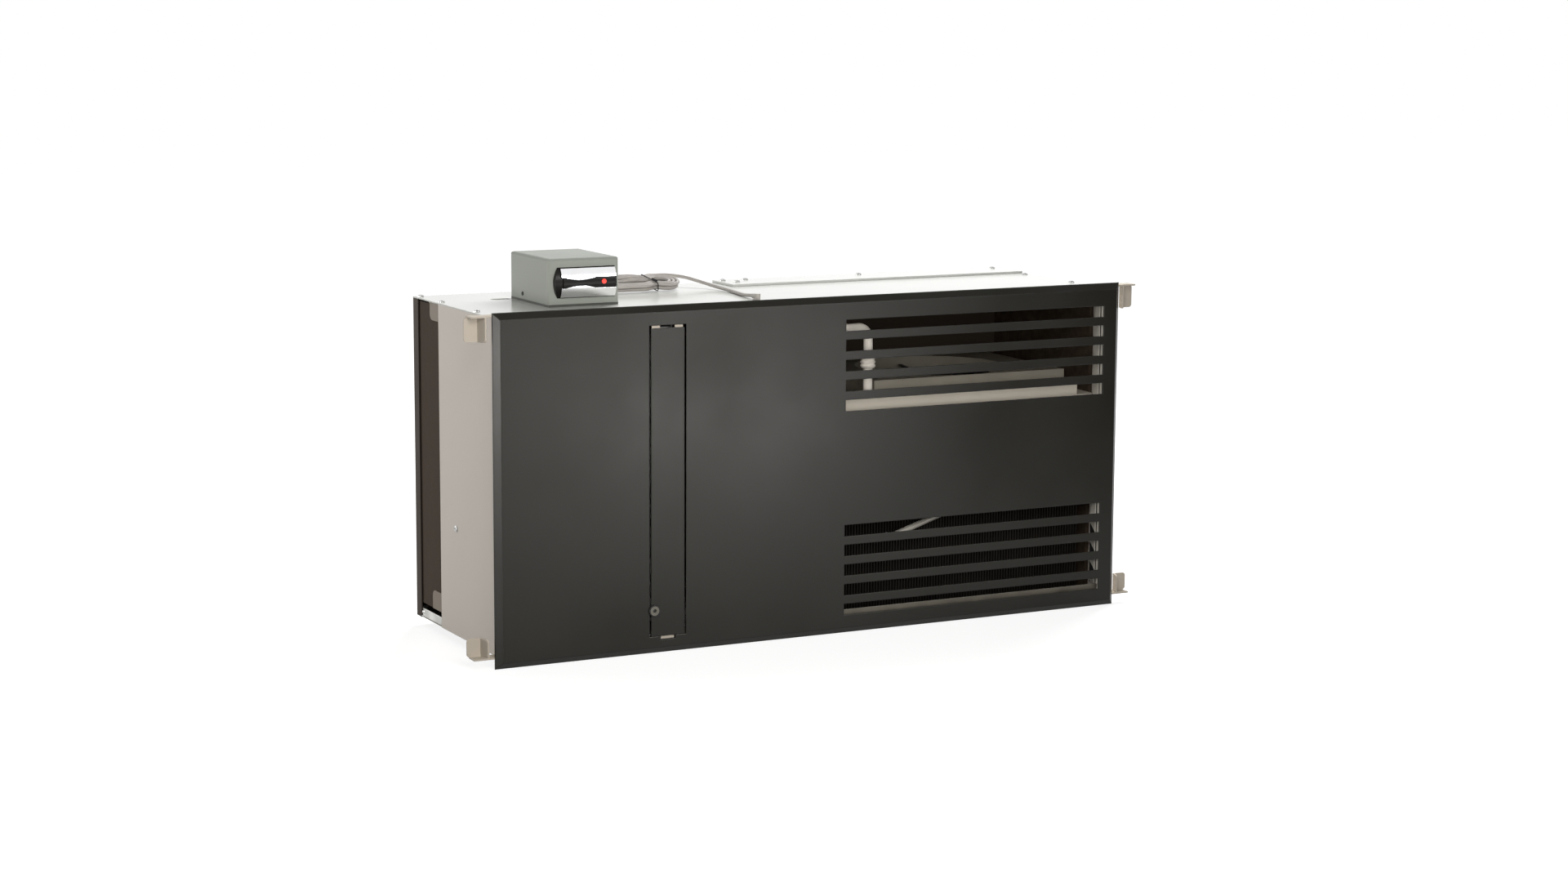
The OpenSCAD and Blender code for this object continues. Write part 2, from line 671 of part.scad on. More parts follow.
// Filter cassette: access strip, frame and media slide out to the front together
strip_w = strip_open_w - 2 * strip_gap;
strip_top_gap = 3.5;
strip_z1 = strip_z + strip_open_h - strip_top_gap;
rail_floor = 10;
frame_z0 = z_pan + rail_floor + slip;
frame_top_gap = 20;
frame_z1 = z_ceil - frame_top_gap;
rail_t = 1.5;
rail_lap = 7;
rail_over = 8;
tab_t = 1.2;
frame_y0 = y_face + panel_t + tab_t;
filter_d = y_in - filter_clear - frame_y0;
rail_y1 = frame_y0 + filter_d + rail_over;
tab_margin = 1.5;
tab_drop = 30;
tongue_w = 18;
lock_in = 3.5;
lock_x = strip_x - strip_w / 2 + lock_in;
lock_z = strip_z + lock_up;
lock_shank = 6;
lock_head_h = 2.6;
lock_socket = 5;
module access_strip() color([0.25, 0.25, 0.24]) {
    difference() {
        span([strip_x - strip_w / 2, y_face, strip_z + slip],
            [strip_x + strip_w / 2, y_face + panel_t, strip_z1]);
        translate([lock_x, y_face - cut, lock_z]) rotate([-90, 0, 0])
            cylinder(h = panel_t + 2 * cut, d = lock_shank + 2 * run);
    }
}
module filter_frame() color([0.75, 0.74, 0.7]) {
    difference() {
        span([strip_x - filter_t / 2, frame_y0, frame_z0],
            [strip_x + filter_t / 2, frame_y0 + filter_d, frame_z1]);
        span([strip_x - filter_t / 2 - cut, frame_y0 + filter_rim, frame_z0 + filter_rim],
            [strip_x + filter_t / 2 + cut, frame_y0 + filter_d - filter_rim, frame_z1 - filter_rim]);
    }
    difference() {
        span([strip_x - strip_w / 2 + tab_margin, y_face + panel_t, strip_z1 - tab_drop],
            [strip_x + strip_w / 2 - tab_margin, frame_y0, strip_z + strip_open_h - slip]);
        span([strip_x - notch_w / 2, y_face, strip_z1], [strip_x + notch_w / 2, frame_y0 + cut, z_top]);
    }
    span([strip_x - filter_t / 2, y_face + panel_t, frame_z0],
        [strip_x + filter_t / 2, frame_y0, strip_z1 - tab_drop]);
    span([strip_x - tongue_w / 2, y_face + panel_t, strip_z - notch_h + slip],
        [strip_x + tongue_w / 2, frame_y0, frame_z0]);
}
pleats = 26;
paper_t = 2;
module filter_media() color([0.82, 0.83, 0.8]) {
    half = filter_t / 2 - tab_margin;
    pitch = (filter_d - 2 * filter_rim) / pleats;
    translate([strip_x, frame_y0 + filter_rim, frame_z0 + filter_rim])
        linear_extrude(frame_z1 - frame_z0 - 2 * filter_rim)
            polygon(concat([for (i = [0:pleats]) [(i % 2 == 0 ? -half : half - paper_t), i * pitch]],
                [for (i = [pleats:-1:0]) [(i % 2 == 0 ? -half + paper_t : half), i * pitch]]));
}
module rail(z0, z1, web_z) {
    half = filter_t / 2 + slip;
    for (m = [0, 1]) mirror([m, 0, 0]) span([half, y_lip + 3 * sheet_t, z0], [half + rail_t, rail_y1, z1]);
    span([-half - rail_t, y_lip + 3 * sheet_t, web_z], [half + rail_t, rail_y1, web_z + rail_t]);
}
module filter_rails() color([0.7, 0.7, 0.68]) {
    translate([strip_x, 0, 0]) {
        rail(z_pan, frame_z0 + rail_lap, frame_z0 - slip - rail_t);
        rail(frame_z1 - rail_lap, z_ceil, frame_z1 + slip);
    }
}
module retaining_screw() color([0.75, 0.75, 0.75]) {
    translate([lock_x, y_face, lock_z]) rotate([90, 0, 0]) difference() {
        union() {
            cylinder(h = lock_head_h, d = lock_dia);
            translate([0, 0, -bevel - receiver_d]) cylinder(h = bevel + receiver_d, d = lock_shank);
        }
        translate([0, 0, lock_head_h / 2]) cylinder(h = lock_head_h, d = lock_socket, $fn = 6);
    }
}
receiver_d = 6;
receiver_w = 14;
receiver_t = 2;
// Bracket behind the panel that the retaining screw turns in
module screw_receiver() color([0.7, 0.7, 0.68]) {
    edge = strip_x - strip_open_w / 2;
    difference() {
        union() {
            span([edge - receiver_w, y_face + panel_t, lock_z - receiver_w],
                [edge - slip, y_face + panel_t + receiver_t, lock_z + receiver_w]);
            span([edge - receiver_t - slip, y_face + panel_t, lock_z - receiver_w],
                [edge - slip, y_lip + receiver_d, lock_z + receiver_w]);
            span([edge - receiver_t - slip, y_lip, lock_z - receiver_w],
                [strip_x - filter_t / 2 - 2 * slip, y_lip + receiver_d, lock_z + receiver_w]);
        }
        translate([lock_x, y_face, lock_z]) rotate([-90, 0, 0])
            cylinder(h = bevel + receiver_d + cut, d = lock_shank + 2 * run);
    }
}

// Hot side
shelf_y = y_lip + shelf_back;
z_shelf = shelf_z + sheet_t;
shelf_x1 = x_in - liner_t;
frame_front = y_lip + cond_frame_back;
cond_frame_d = y_in - cond_frame_clear - frame_front;
cond_fan_y = frame_front + cond_frame_d / 2;
cond_fan_dia = cond_frame_d - 2 * (fan_gap + cond_frame_rim);
suction_x = 90;
suction_back = 42;
suction_y = y_lip + suction_back;
suction_z = 386;
suction_turn_z = 222;
liquid_y = suction_y + suction_dia;
liquid_z = suction_z - 2 * suction_dia;
liquid_dia = 6;
bend_r = 14;
line_x = 5;
module divider_shelf() color([0.84, 0.8, 0.72]) {
    difference() {
        union() {
            span([wall_right, shelf_y, shelf_z], [shelf_x1, y_in, z_shelf]);
            span([wall_right, shelf_y, shelf_z], [shelf_lip_x, shelf_y + sheet_t, shelf_z + shelf_lip]);
        }
        translate([cond_fan_x, cond_fan_y, shelf_z - cut])
            cylinder(h = sheet_t + 2 * cut, d = cond_fan_dia + 2 * fan_gap);
        translate([suction_x, suction_y, shelf_z - cut])
            cylinder(h = sheet_t + 2 * cut, d = suction_dia);
        translate([liquid_x, liquid_y, shelf_z - cut]) cylinder(h = sheet_t + 2 * cut, d = liquid_dia);
    }
}
frame_x0 = cond_fan_x - cond_frame_w / 2;
module condenser_fan_frame() color([0.78, 0.74, 0.66]) {
    difference() {
        span([frame_x0, frame_front, z_shelf],
            [frame_x0 + cond_frame_w, frame_front + cond_frame_d, z_shelf + cond_frame_h]);
        translate([cond_fan_x, cond_fan_y, z_shelf - cut])
            cylinder(h = cond_frame_h + 2 * cut, d = cond_fan_dia + 2 * fan_gap);
    }
}
module condenser_fan_motor() color([0.14, 0.14, 0.14]) {
    translate([cond_fan_x, cond_fan_y, shelf_z - arm_t]) fan_motor(cond_fan_dia / 2 + fan_gap + arm_w);
}
module condenser_fan_blade() color([0.12, 0.12, 0.13]) {
    translate([cond_fan_x, cond_fan_y, shelf_z + hub_gap]) fan_blade(cond_fan_dia / 2);
}
cond_x0 = 40;
cond_x1 = 412;
cond_y0 = y_lip + cond_back;
cond_plate = 2;
module condenser_fins() color([0.5, 0.42, 0.34]) {
    spine0 = cond_y0 + cond_t / 2 - spine_t / 2;
    translate([0, 0, z_floor]) linear_extrude(cond_h) rotate([0, 0, 90]) mirror([0, 1])
        polygon(comb(cond_y0, cond_y0 + cond_t, spine0, spine0 + spine_t, cond_x0, cond_x1, cond_fins));
    for (x = [cond_x0 - cond_plate, cond_x1])
        span([x, cond_y0, z_floor], [x + cond_plate, cond_y0 + cond_t, z_floor + cond_h]);
}
cond_passes = 3;
module condenser_tubes() color([0.72, 0.45, 0.3]) {
    pitch = cond_h / (2 * cond_passes);
    yc = cond_y0 + cond_t / 2;
    for (i = [0:cond_passes - 1]) translate([cond_x0 - cond_plate, yc, z_floor + (2 * i + 1) * pitch])
        rotate([90, 0, 0]) rotate([0, 0, 90]) rotate_extrude(angle = 180)
            translate([pitch / 2, 0]) circle(d = evap_tube, $fn = tube_sides);
}
comp_y0 = cond_y0 + cond_t + comp_front_clear;
comp_y1 = y_in - comp_rear_clear;
comp_y = (comp_y0 + comp_y1) / 2;
comp_dia = comp_y1 - comp_y0;
comp_hole_x = 80;
comp_hole_y = 44;
comp_bolt = 8;
comp_feet = [for (sx = [-1, 1], sy = [-1, 1]) [comp_x + sx * comp_hole_x, comp_y + sy * comp_hole_y, 0]];
grommet_h = 10;
grommet_dia = 22;
comp_plate = 3;
comp_plate_margin = 14;
comp_z = z_floor + grommet_h + comp_plate;
comp_round = 40;
port_out = 4;
port_dia = 15;
module compressor_shell() color([0.07, 0.07, 0.07]) {
    r = comp_dia / 2;
    translate([comp_x, comp_y, comp_z]) rotate_extrude() {
        square([r - comp_round, comp_h]);
        translate([0, comp_round]) square([r, comp_h - 2 * comp_round]);
        for (z = [comp_round, comp_h - comp_round]) translate([r - comp_round, z])
            intersection() {
                circle(comp_round);
                translate([0, -comp_round]) square(2 * comp_round);
            }
    }
    rod([comp_x, port_y, port_z], [comp_x, comp_y, port_z], port_dia / 2);
    difference() {
        translate([comp_x, comp_y, comp_z - comp_plate]) linear_extrude(comp_plate)
            round_rect(2 * (comp_hole_x + comp_plate_margin), 2 * (comp_hole_y + comp_plate_margin),
                comp_plate_margin);
        for (p = comp_feet) translate(p) cylinder(h = comp_z + cut, d = comp_bolt + 2 * loose);
    }
}
terminal_w = 22;
terminal_h = 60;
terminal_d = 54;
module compressor_terminal_cover() color([0.1, 0.1, 0.1]) {
    difference() {
        translate([comp_x - comp_dia / 2 - terminal_w, comp_y - terminal_d / 2, comp_z + comp_h / 3])
            cube([terminal_w + comp_dia / 4, terminal_d, terminal_h]);
        translate([comp_x, comp_y, comp_z]) cylinder(h = comp_h, d = comp_dia + 2 * run);
    }
}
module compressor_grommets() color([0.1, 0.1, 0.1]) {
    for (p = comp_feet) translate([p.x, p.y, z_floor]) difference() {
        cylinder(h = grommet_h, d = grommet_dia);
        translate([0, 0, -cut]) cylinder(h = grommet_h + 2 * cut, d = comp_bolt + 2 * loose);
    }
}
bolt_head = 14;
bolt_head_h = 5;
module compressor_bolts() color([0.7, 0.7, 0.7]) {
    for (p = comp_feet) translate([p.x, p.y, foot_h]) {
        cylinder(h = comp_z - foot_h, d = comp_bolt);
        translate([0, 0, comp_z - foot_h]) cylinder(h = bolt_head_h, d = bolt_head, $fn = 6);
    }
}
// White suction line from the cold side down to the compressor's top
module suction_line() color([0.9, 0.9, 0.88]) {
    pipe([[wall_right, line_y, suction_z], [line_x, line_y, suction_z], [line_x, suction_y, suction_z],
        [suction_x, suction_y, suction_z], [suction_x, suction_y, suction_turn_z],
        [suction_x, comp_y, suction_turn_z], [comp_x, comp_y, suction_turn_z],
        [comp_x, comp_y, comp_z + comp_h]], suction_dia / 2, bend_r);
}
coupling_z = 334;
coupling_h = 15;
coupling_dia = 17;
coupling_ring = 3;
coupling_groove = 1.5;
module line_coupling() color([0.85, 0.85, 0.82]) {
    translate([suction_x, suction_y, coupling_z]) difference() {
        union() {
            cylinder(h = coupling_h, d = coupling_dia - 2 * coupling_groove);
            for (z = [0, coupling_h / 2 - coupling_ring / 2, coupling_h - coupling_ring]) translate([0, 0, z])
                cylinder(h = coupling_ring, d = coupling_dia);
        }
        translate([0, 0, -cut]) cylinder(h = coupling_h + 2 * cut, d = suction_dia + 2 * run);
    }
}
discharge_y = y_lip + shelf_back;
discharge_low_x = 120;
discharge_low_z = 113;
discharge_high_x = 216;
discharge_high_z = 144;
discharge_over_z = 208;
port_z = 150;
port_y = comp_y - comp_dia / 2 - port_out;
port_run = 14;
discharge_bend_share = 1.4;
discharge_sides = 12;
// Hard line from the compressor's front port over the coil and down to the condenser's inlet
module discharge_line() color([0.75, 0.73, 0.68]) {
    pts = [[discharge_low_x, cond_y0, discharge_low_z], [discharge_low_x, discharge_y, discharge_low_z],
        [discharge_high_x, discharge_y, discharge_high_z], [comp_x, discharge_y, discharge_over_z],
        [comp_x, port_y - port_run, discharge_over_z], [comp_x, port_y - port_run, port_z],
        [comp_x, port_y, port_z]];
    sweep(bent(pts, discharge_dia * discharge_bend_share), discharge_dia / 2, discharge_sides, [0, 0, 1]);
}
liquid_x = 60;
drier_z = 120;
drier_h = 88;
drier_dia = 22;
drier_low_z = 88;
drier_y = cond_y0 + cond_t + 2 * drier_dia;
module liquid_line() color([0.72, 0.45, 0.3]) {
    pipe([[wall_right, line_y, liquid_z], [line_x, line_y, liquid_z], [line_x, liquid_y, liquid_z],
        [liquid_x, liquid_y, liquid_z], [liquid_x, liquid_y, shelf_z - bend_r],
        [liquid_x, drier_y, shelf_z - bend_r], [liquid_x, drier_y, drier_z + drier_h]],
        liquid_dia / 2, 2 * liquid_dia);
    pipe([[liquid_x, drier_y, drier_z], [liquid_x, drier_y, drier_low_z],
        [liquid_x, cond_y0 + cond_t, drier_low_z]], liquid_dia / 2, liquid_dia);
}
module filter_drier() color([0.72, 0.5, 0.35]) {
    neck = drier_dia / 3;
    translate([liquid_x, drier_y, drier_z]) rotate_extrude() polygon([[0, 0], [liquid_dia, 0],
        [drier_dia / 2, neck], [drier_dia / 2, drier_h - neck], [liquid_dia, drier_h], [0, drier_h]]);
}
box_w = 64;
box_d = 96;
box_h = 150;
box_z = 60;
module control_box() color([0.55, 0.56, 0.56]) {
    difference() {
        span([wall_right, y_in - box_d, box_z], [wall_right + box_w, y_in, box_z + box_h]);
        span([wall_right + sheet_t, y_in - box_d + sheet_t, box_z + sheet_t],
            [wall_right + box_w - sheet_t, y_in - sheet_t, box_z + box_h - sheet_t]);
    }
}
cap_dia = 40;
cap_pin = 8;
cap_clear = 5;
cap_h = shelf_z - cap_clear - cap_pin - box_z - box_h;
module run_capacitor() color([0.8, 0.8, 0.8]) {
    translate([wall_right + box_w / 2, y_in - box_d / 2, box_z + box_h]) {
        cylinder(h = cap_h, d = cap_dia);
        for (s = [-1, 1]) translate([s * cap_pin, 0, cap_h]) cylinder(h = cap_pin, d = cap_pin / 2);
    }
}
inlet_d = 22;
inlet_rim = 3;
pin_w = 4;
pin_t = 2;
pin_gap = 7;
module power_inlet() color([0.08, 0.08, 0.08]) {
    translate([inlet_x, 0, inlet_z]) {
        difference() {
            union() {
                span([-inlet_w / 2, y_back - inlet_d, -inlet_h / 2], [inlet_w / 2, y_back, inlet_h / 2]);
                span([-inlet_w / 2 - inlet_rim, y_back, -inlet_h / 2 - inlet_rim],
                    [inlet_w / 2 + inlet_rim, y_back + lock_head_h, inlet_h / 2 + inlet_rim]);
            }
            span([-inlet_w / 2 + pin_t, y_back - inlet_d + pin_t, -inlet_h / 2 + pin_t],
                [inlet_w / 2 - pin_t, y_back + inlet_rim, inlet_h / 2 - pin_t]);
        }
        for (i = [-1, 0, 1])
            translate([i * pin_gap - pin_t / 2, y_back - inlet_d, (i == 0 ? pin_t : -pin_t) - pin_w / 2])
                cube([pin_t, inlet_d - pin_w, pin_w]);
    }
}
drain_x = -100;
drain_in = 30;
drain_dia = 12;
drain_neck = 11;
drain_bore = 9;
drain_clear = 0.5;
// Hose spout under the base pan, with a neck up to the drain pan
module drain_outlet() color([0.85, 0.85, 0.82]) {
    translate([drain_x, y_back - drain_in, slip]) difference() {
        union() {
            cylinder(h = foot_h - slip - drain_clear, d = drain_dia - 2 * loose);
            cylinder(h = z_floor - slip, d = drain_neck - 2 * loose);
        }
        translate([0, 0, -cut]) cylinder(h = z_floor + 2 * cut, d = drain_bore);
    }
}

// Controller box, drawn about the middle of its front edge on the top cover
ctl_y = y_lip + ctl_back;
pod_shift = 2.8;
pod_z = 30;
pod_side = 3;
pod_end = 5.4;
pod_r = (pow(pod_h / 2, 2) + pow(pod_bulge, 2)) / (2 * pod_bulge);
pod_end_r = (pow(pod_h / 2, 2) + pow(pod_end, 2)) / (2 * pod_end);
key_t = 1.4;
key_proud = 0.7;
key_slip = 0.2;
key_margin = 0.8;
key_left = 2.5;
band_wide = 6.7;
band_narrow = 3.3;
band_half = 21;
band_x = -10.8;
band_r = (pow(band_half, 2) + pow(band_wide - band_narrow, 2)) / (2 * (band_wide - band_narrow));
pocket = 5;
ctl_screw_back = 81;
ctl_screw_z = 10;
ctl_screw = 3;
module at_controller() {
    translate([ctl_x, ctl_y, z_top]) children();
}
module at_pod() {
    at_controller() translate([pod_shift, 0, pod_z]) children();
}
module ctl_block(inset, z0) {
    w = ctl_w - 2 * inset;
    h = ctl_h - inset - z0;
    r = ctl_round - inset;
    intersection() {
        translate([0, ctl_d / 2, z0]) linear_extrude(h) round_rect(w, ctl_d - 2 * inset, r);
        along_y(0, ctl_d) intersection() {
            translate([0, z0 + h / 2 - r]) round_rect(w, h + 2 * r, r);
            translate([-ctl_w / 2, z0]) square([ctl_w, h]);
        }
        along_x(-ctl_w / 2, ctl_w / 2) intersection() {
            translate([ctl_d / 2, z0 + h / 2 - r]) round_rect(ctl_d - 2 * inset, h + 2 * r, r);
            translate([0, z0]) square([ctl_d, h]);
        }
    }
}
module controller_cover() color([0.55, 0.58, 0.55]) {
    at_controller() difference() {
        ctl_block(0, ctl_base);
        ctl_block(ctl_wall, ctl_base - cut);
        for (s = [-1, 1]) translate([s * ctl_w / 2, ctl_screw_back, ctl_screw_z]) rotate([0, s * 90, 0])
            translate([0, 0, -ctl_wall - cut]) cylinder(h = ctl_wall + 2 * cut, d = ctl_screw);
        translate([ctl_gland_x, ctl_d - ctl_wall - cut, ctl_gland_z]) rotate([-90, 0, 0])
            cylinder(h = ctl_wall + 2 * cut, d = ctl_gland_dia + 2 * loose);
        translate([pod_shift, -cut, pod_z]) rotate([-90, 0, 0])
            cylinder(h = ctl_wall + 2 * cut, d = pod_plug + 2 * loose);
    }
}
pod_plug = 30;
pod_plug_d = 14;
base_inset = 1;
base_tab_t = 2;
base_tab_w = 16;
module controller_base() color([0.1, 0.1, 0.1]) {
    at_controller() {
        span([-ctl_w / 2 + base_inset, base_inset, 0],
            [ctl_w / 2 - base_inset, ctl_d - base_inset, ctl_base]);
        for (s = [-1, 1]) difference() {
            scale([s, 1, 1])
                span([ctl_w / 2 - ctl_wall - slip - base_tab_t, ctl_screw_back - base_tab_w / 2, ctl_base],
                    [ctl_w / 2 - ctl_wall - slip, ctl_screw_back + base_tab_w / 2,
                        ctl_screw_z + base_tab_w / 2]);
            translate([s * ctl_w / 2, ctl_screw_back, ctl_screw_z]) rotate([0, s * 90, 0])
                translate([0, 0, -ctl_wall - slip - base_tab_t - cut])
                    cylinder(h = ctl_wall + base_tab_t + 2 * cut, d = ctl_screw);
        }
        for (sx = [-1, 1], y = [ctl_d / 4, ctl_d * 3 / 4]) translate([sx * ctl_w / 3, y, ctl_base])
            cylinder(h = post_h, d = post_dia);
    }
}
post_h = 5;
post_dia = 6;
board_t = 1.6;
relay = 16;
relay_shares = [-1.2, 0.4];
module controller_board() color([0.1, 0.35, 0.2]) {
    at_controller() {
        span([-ctl_w / 3 - post_dia / 2, ctl_d / 4 - post_dia / 2, ctl_base + post_h],
            [ctl_w / 3 + post_dia / 2, ctl_d * 3 / 4 + post_dia / 2, ctl_base + post_h + board_t]);
        for (s = relay_shares) translate([s * relay, ctl_d / 2, ctl_base + post_h + board_t])
            cube([relay, relay, relay]);
    }
}
ctl_screw_head = 5.4;
ctl_screw_head_h = 1;
module controller_screws() color([0.12, 0.12, 0.12]) {
    at_controller() for (s = [-1, 1]) translate([s * ctl_w / 2, ctl_screw_back, ctl_screw_z])
        rotate([0, s * 90, 0]) pan_screw(ctl_screw, ctl_screw_head, ctl_screw_head_h, ctl_wall + base_tab_t);
}
// Outline of the pod seen from the front, with its round left end
module pod_outline() {
    square([pod_w, pod_h], center = true);
    intersection() {
        translate([-pod_w / 2 - pod_end + pod_end_r, 0]) circle(pod_end_r);
        translate([-pod_w / 2 - pod_end, -pod_h / 2]) square([2 * pod_end, pod_h]);
    }
}
// Outline of the upper key seen from the front
module key_outline(gap) {
    x0 = -pod_w / 2 + key_left + gap;
    x1 = pod_w / 2 - key_margin - gap;
    translate([x0, band_wide + gap]) square([x1 - x0, pod_h / 2 - key_margin - band_wide - 2 * gap]);
    intersection() {
        translate([band_x, band_narrow + band_r + gap]) circle(band_r);
        translate([band_x - band_half, band_narrow]) square([2 * band_half, band_wide]);
    }
}
// Rounded front of the pod at radius r, drawn along X
pod_sides = 96;
module pod_arc(r) {
    along_x(-pod_w, pod_w) intersection() {
        translate([pod_r - pod_side - pod_bulge, 0]) circle(r, $fn = pod_sides);
        translate([-pod_r, -pod_h / 2]) square([pod_r, pod_h]);
    }
}
key_floor = pod_r - (key_t - key_proud) - key_travel - slip;
module display_pod() color([0.06, 0.06, 0.06]) {
    at_pod() {
        difference() {
            intersection() {
                along_y(-pod_side - pod_bulge - cut, 0) pod_outline();
                pod_arc(key_floor);
            }
            along_y(-pod_side - pod_bulge - cut, -pocket) band_outline(0);
        }
        rod([0, 0, 0], [0, pod_plug_d, 0], pod_plug / 2);
    }
}
// Outline of the smoked window between the keys
module band_outline(gap) {
    difference() {
        translate([-pod_w / 2 + 2 * key_left + gap, -band_wide + gap])
            square([pod_w - 3 * key_left - 2 * gap, 2 * (band_wide - gap)]);
        for (m = [0, 1]) mirror([0, m]) translate([band_x, band_narrow + band_r - key_margin - gap])
            circle(band_r);
    }
}
module display_window() color([0.02, 0.02, 0.02, 0.8]) {
    at_pod() difference() {
        intersection() {
            along_y(-pod_side - pod_bulge - cut, -pocket) band_outline(loose);
            pod_arc(pod_r);
        }
        rod([lamp_x, -pocket + cut, lamp_up], [lamp_x, -pod_side - pod_bulge - cut, lamp_up],
            lamp_dia / 2 + loose);
    }
}
lamp_x = 20.8;
lamp_up = 0.8;
module status_lamp() color([0.85, 0.05, 0.03]) {
    at_pod() rod([lamp_x, -pocket, lamp_up], [lamp_x, -pod_side - pod_bulge - key_proud, lamp_up],
        lamp_dia / 2);
}
module key_cap() {
    intersection() {
        along_y(-pod_side - pod_bulge - cut - key_proud, 0) key_outline(key_slip);
        difference() {
            pod_arc(pod_r + key_proud);
            pod_arc(pod_r + key_proud - key_t);
        }
    }
}
module upper_key() color([0.85, 0.85, 0.86]) {
    at_pod() key_cap();
}
module lower_key() color([0.85, 0.85, 0.86]) {
    at_pod() mirror([0, 0, 1]) key_cap();
}
ctl_gland_x = 6;
ctl_gland_z = 16;
ctl_gland_dia = 8;
ctl_gland_wide = 12;
ctl_gland_out = 10;
gland_end = 6.3;
module controller_gland() color([0.12, 0.12, 0.12]) {
    at_controller() translate([ctl_gland_x, ctl_d, ctl_gland_z]) rotate([-90, 0, 0]) {
        translate([0, 0, -ctl_wall - slip]) cylinder(h = ctl_wall + slip, d = ctl_gland_dia);
        cylinder(h = ctl_gland_out, d1 = ctl_gland_wide, d2 = gland_end);
    }
}
gland_dia = 7.4;
gland_lift = 3.7;
gland_len = 12;
// Angled strain relief that the lead comes out of, low on the cover
module cover_gland() color([0.5, 0.5, 0.49]) {
    translate([gland_x, y_lip + gland_back, z_top]) {
        translate([0, 0, -sheet_t]) cylinder(h = sheet_t, d = gland_pin);
        cylinder(h = 2 * gland_lift, d = gland_dia);
        translate([0, 0, gland_lift]) rotate([-90, 0, 0])
            cylinder(h = gland_len, d1 = gland_dia, d2 = gland_end);
    }
}

// Route through the points with its corners rounded off
function corner(p, a, b, t, s) = (1 - s) * (1 - s) * (p - a * t) + 2 * s * (1 - s) * p + s * s * (p + b * t);
// Points on each rounded corner
bend_steps = 5;
function bent(pts, bend, steps = bend_steps) = let (last = len(pts) - 1) concat([pts[0]],
    [for (i = [1:last - 1], k = [0:steps]) let (a = unit(pts[i] - pts[i - 1]), b = unit(pts[i + 1] - pts[i]))
        corner(pts[i], a, b, bend * tan(acos(a * b) / 2), k / steps)], [pts[last]]);
// Sweeps a polygon of n sides along a list of points, with its end rings square to the ends
function ring_dir(p, i) = let (n = len(p) - 1)
    i == 0 ? unit(p[1] - p[0]) : i == n ? unit(p[n] - p[n - 1])
    : unit(unit(p[i + 1] - p[i]) + unit(p[i] - p[i - 1]));
function carry(v, d) = unit(v - d * (v * d));
function ring_ups(p, first) = [for (i = 0, u = carry(first, ring_dir(p, 0)); i < len(p);
    i = i + 1, u = i < len(p) ? carry(u, ring_dir(p, i)) : u) u];
module sweep(p, r, n, first) {
    ups = ring_ups(p, first);
    pts = [for (i = [0:len(p) - 1]) let (d = ring_dir(p, i), u = ups[i], w = cross(d, u))
        for (k = [0:n - 1]) p[i] + r * (cos(360 * k / n) * u + sin(360 * k / n) * w)];
    last = (len(p) - 1) * n;
    faces = concat([[for (k = [0:n - 1]) k]], [[for (k = [n - 1:-1:0]) last + k]],
        [for (i = [0:len(p) - 2], k = [0:n - 1], s = [0, 1])
            let (a = i * n + k, b = i * n + (k + 1) % n) s == 0 ? [a, a + n, b + n] : [a, b + n, b]]);
    polyhedron(points = pts, faces = faces);
}
// Smooth curve through chosen points
function between(a, b, c, d, t) = 0.5 * (2 * b + (c - a) * t + (2 * a - 5 * b + 4 * c - d) * t * t
    + (3 * b - a - 3 * c + d) * t * t * t);
function smooth(p, steps) = let (n = len(p) - 1) concat([for (i = [0:n - 1], k = [0:steps - 1])
    between(p[max(i - 1, 0)], p[i], p[i + 1], p[min(i + 2, n)], k / steps)], [p[n]]);

// Coiled lead: two layers of three turns, lying tilted and drawn in where the tie holds them
hank_x = -152;
hank_y = 97;
hank_step = 5.6;
hank_layer = 5.1;
hank_turns = 3;
hank_layers = 2;
hank_rings = 24;
hank_lift = 0.5;
hank_tilt_share = 0.123;
waist_in = 9;
waist_w = 10;
tie_off = 24;
hank_out = hank_r + hank_step * hank_turns;
hank_z = z_top + hank_lift + cable_dia / 2;
hank_loops = hank_turns * hank_layers;
// Point on a loop of end radius r at the share s of the way round
function loop_point(s, r) = s < 0.25 ? [hank_half * (1 - 8 * s), r]
    : s < 0.5 ? [-hank_half - r * sin(720 * (s - 0.25)), r * cos(720 * (s - 0.25))]
    : s < 0.75 ? [-hank_half + 8 * hank_half * (s - 0.5), -r]
    : [hank_half + r * sin(720 * (s - 0.75)), -r * cos(720 * (s - 0.75))];
function waist(p) = [p.x, p.y - sign(p.y) * waist_in * exp(-pow((p.x - tie_off) / waist_w, 2))];
// Turn count t runs from 0 at the rear run of the top layer
function layer_of(t) = floor(t / hank_turns);
function spiral_r(t) = let (k = layer_of(t), f = t / hank_turns - k)
    hank_r + hank_step * hank_turns * (k % 2 == 0 ? 1 - f : f);
function climb(t) = let (k = layer_of(t), f = t - k * hank_turns)
    k == 0 || f > 0.25 ? k : k - 1 + f * 4;
function hank_point(t) = let (q = waist(loop_point(t - floor(t), spiral_r(t))))
    [hank_x + q.x, hank_y + q.y,
        hank_z + hank_layer * (hank_layers - 1 - climb(t)) + hank_tilt_share * (q.y + hank_out)];
// Share of the last loop that isn't wound, where the tail leaves
hank_end_share = 0.75;
hank_path = [for (i = [0:(hank_loops - hank_end_share) * hank_rings]) hank_point(i / hank_rings)];
hank_first = hank_path[0];
hank_last = hank_path[len(hank_path) - 1];
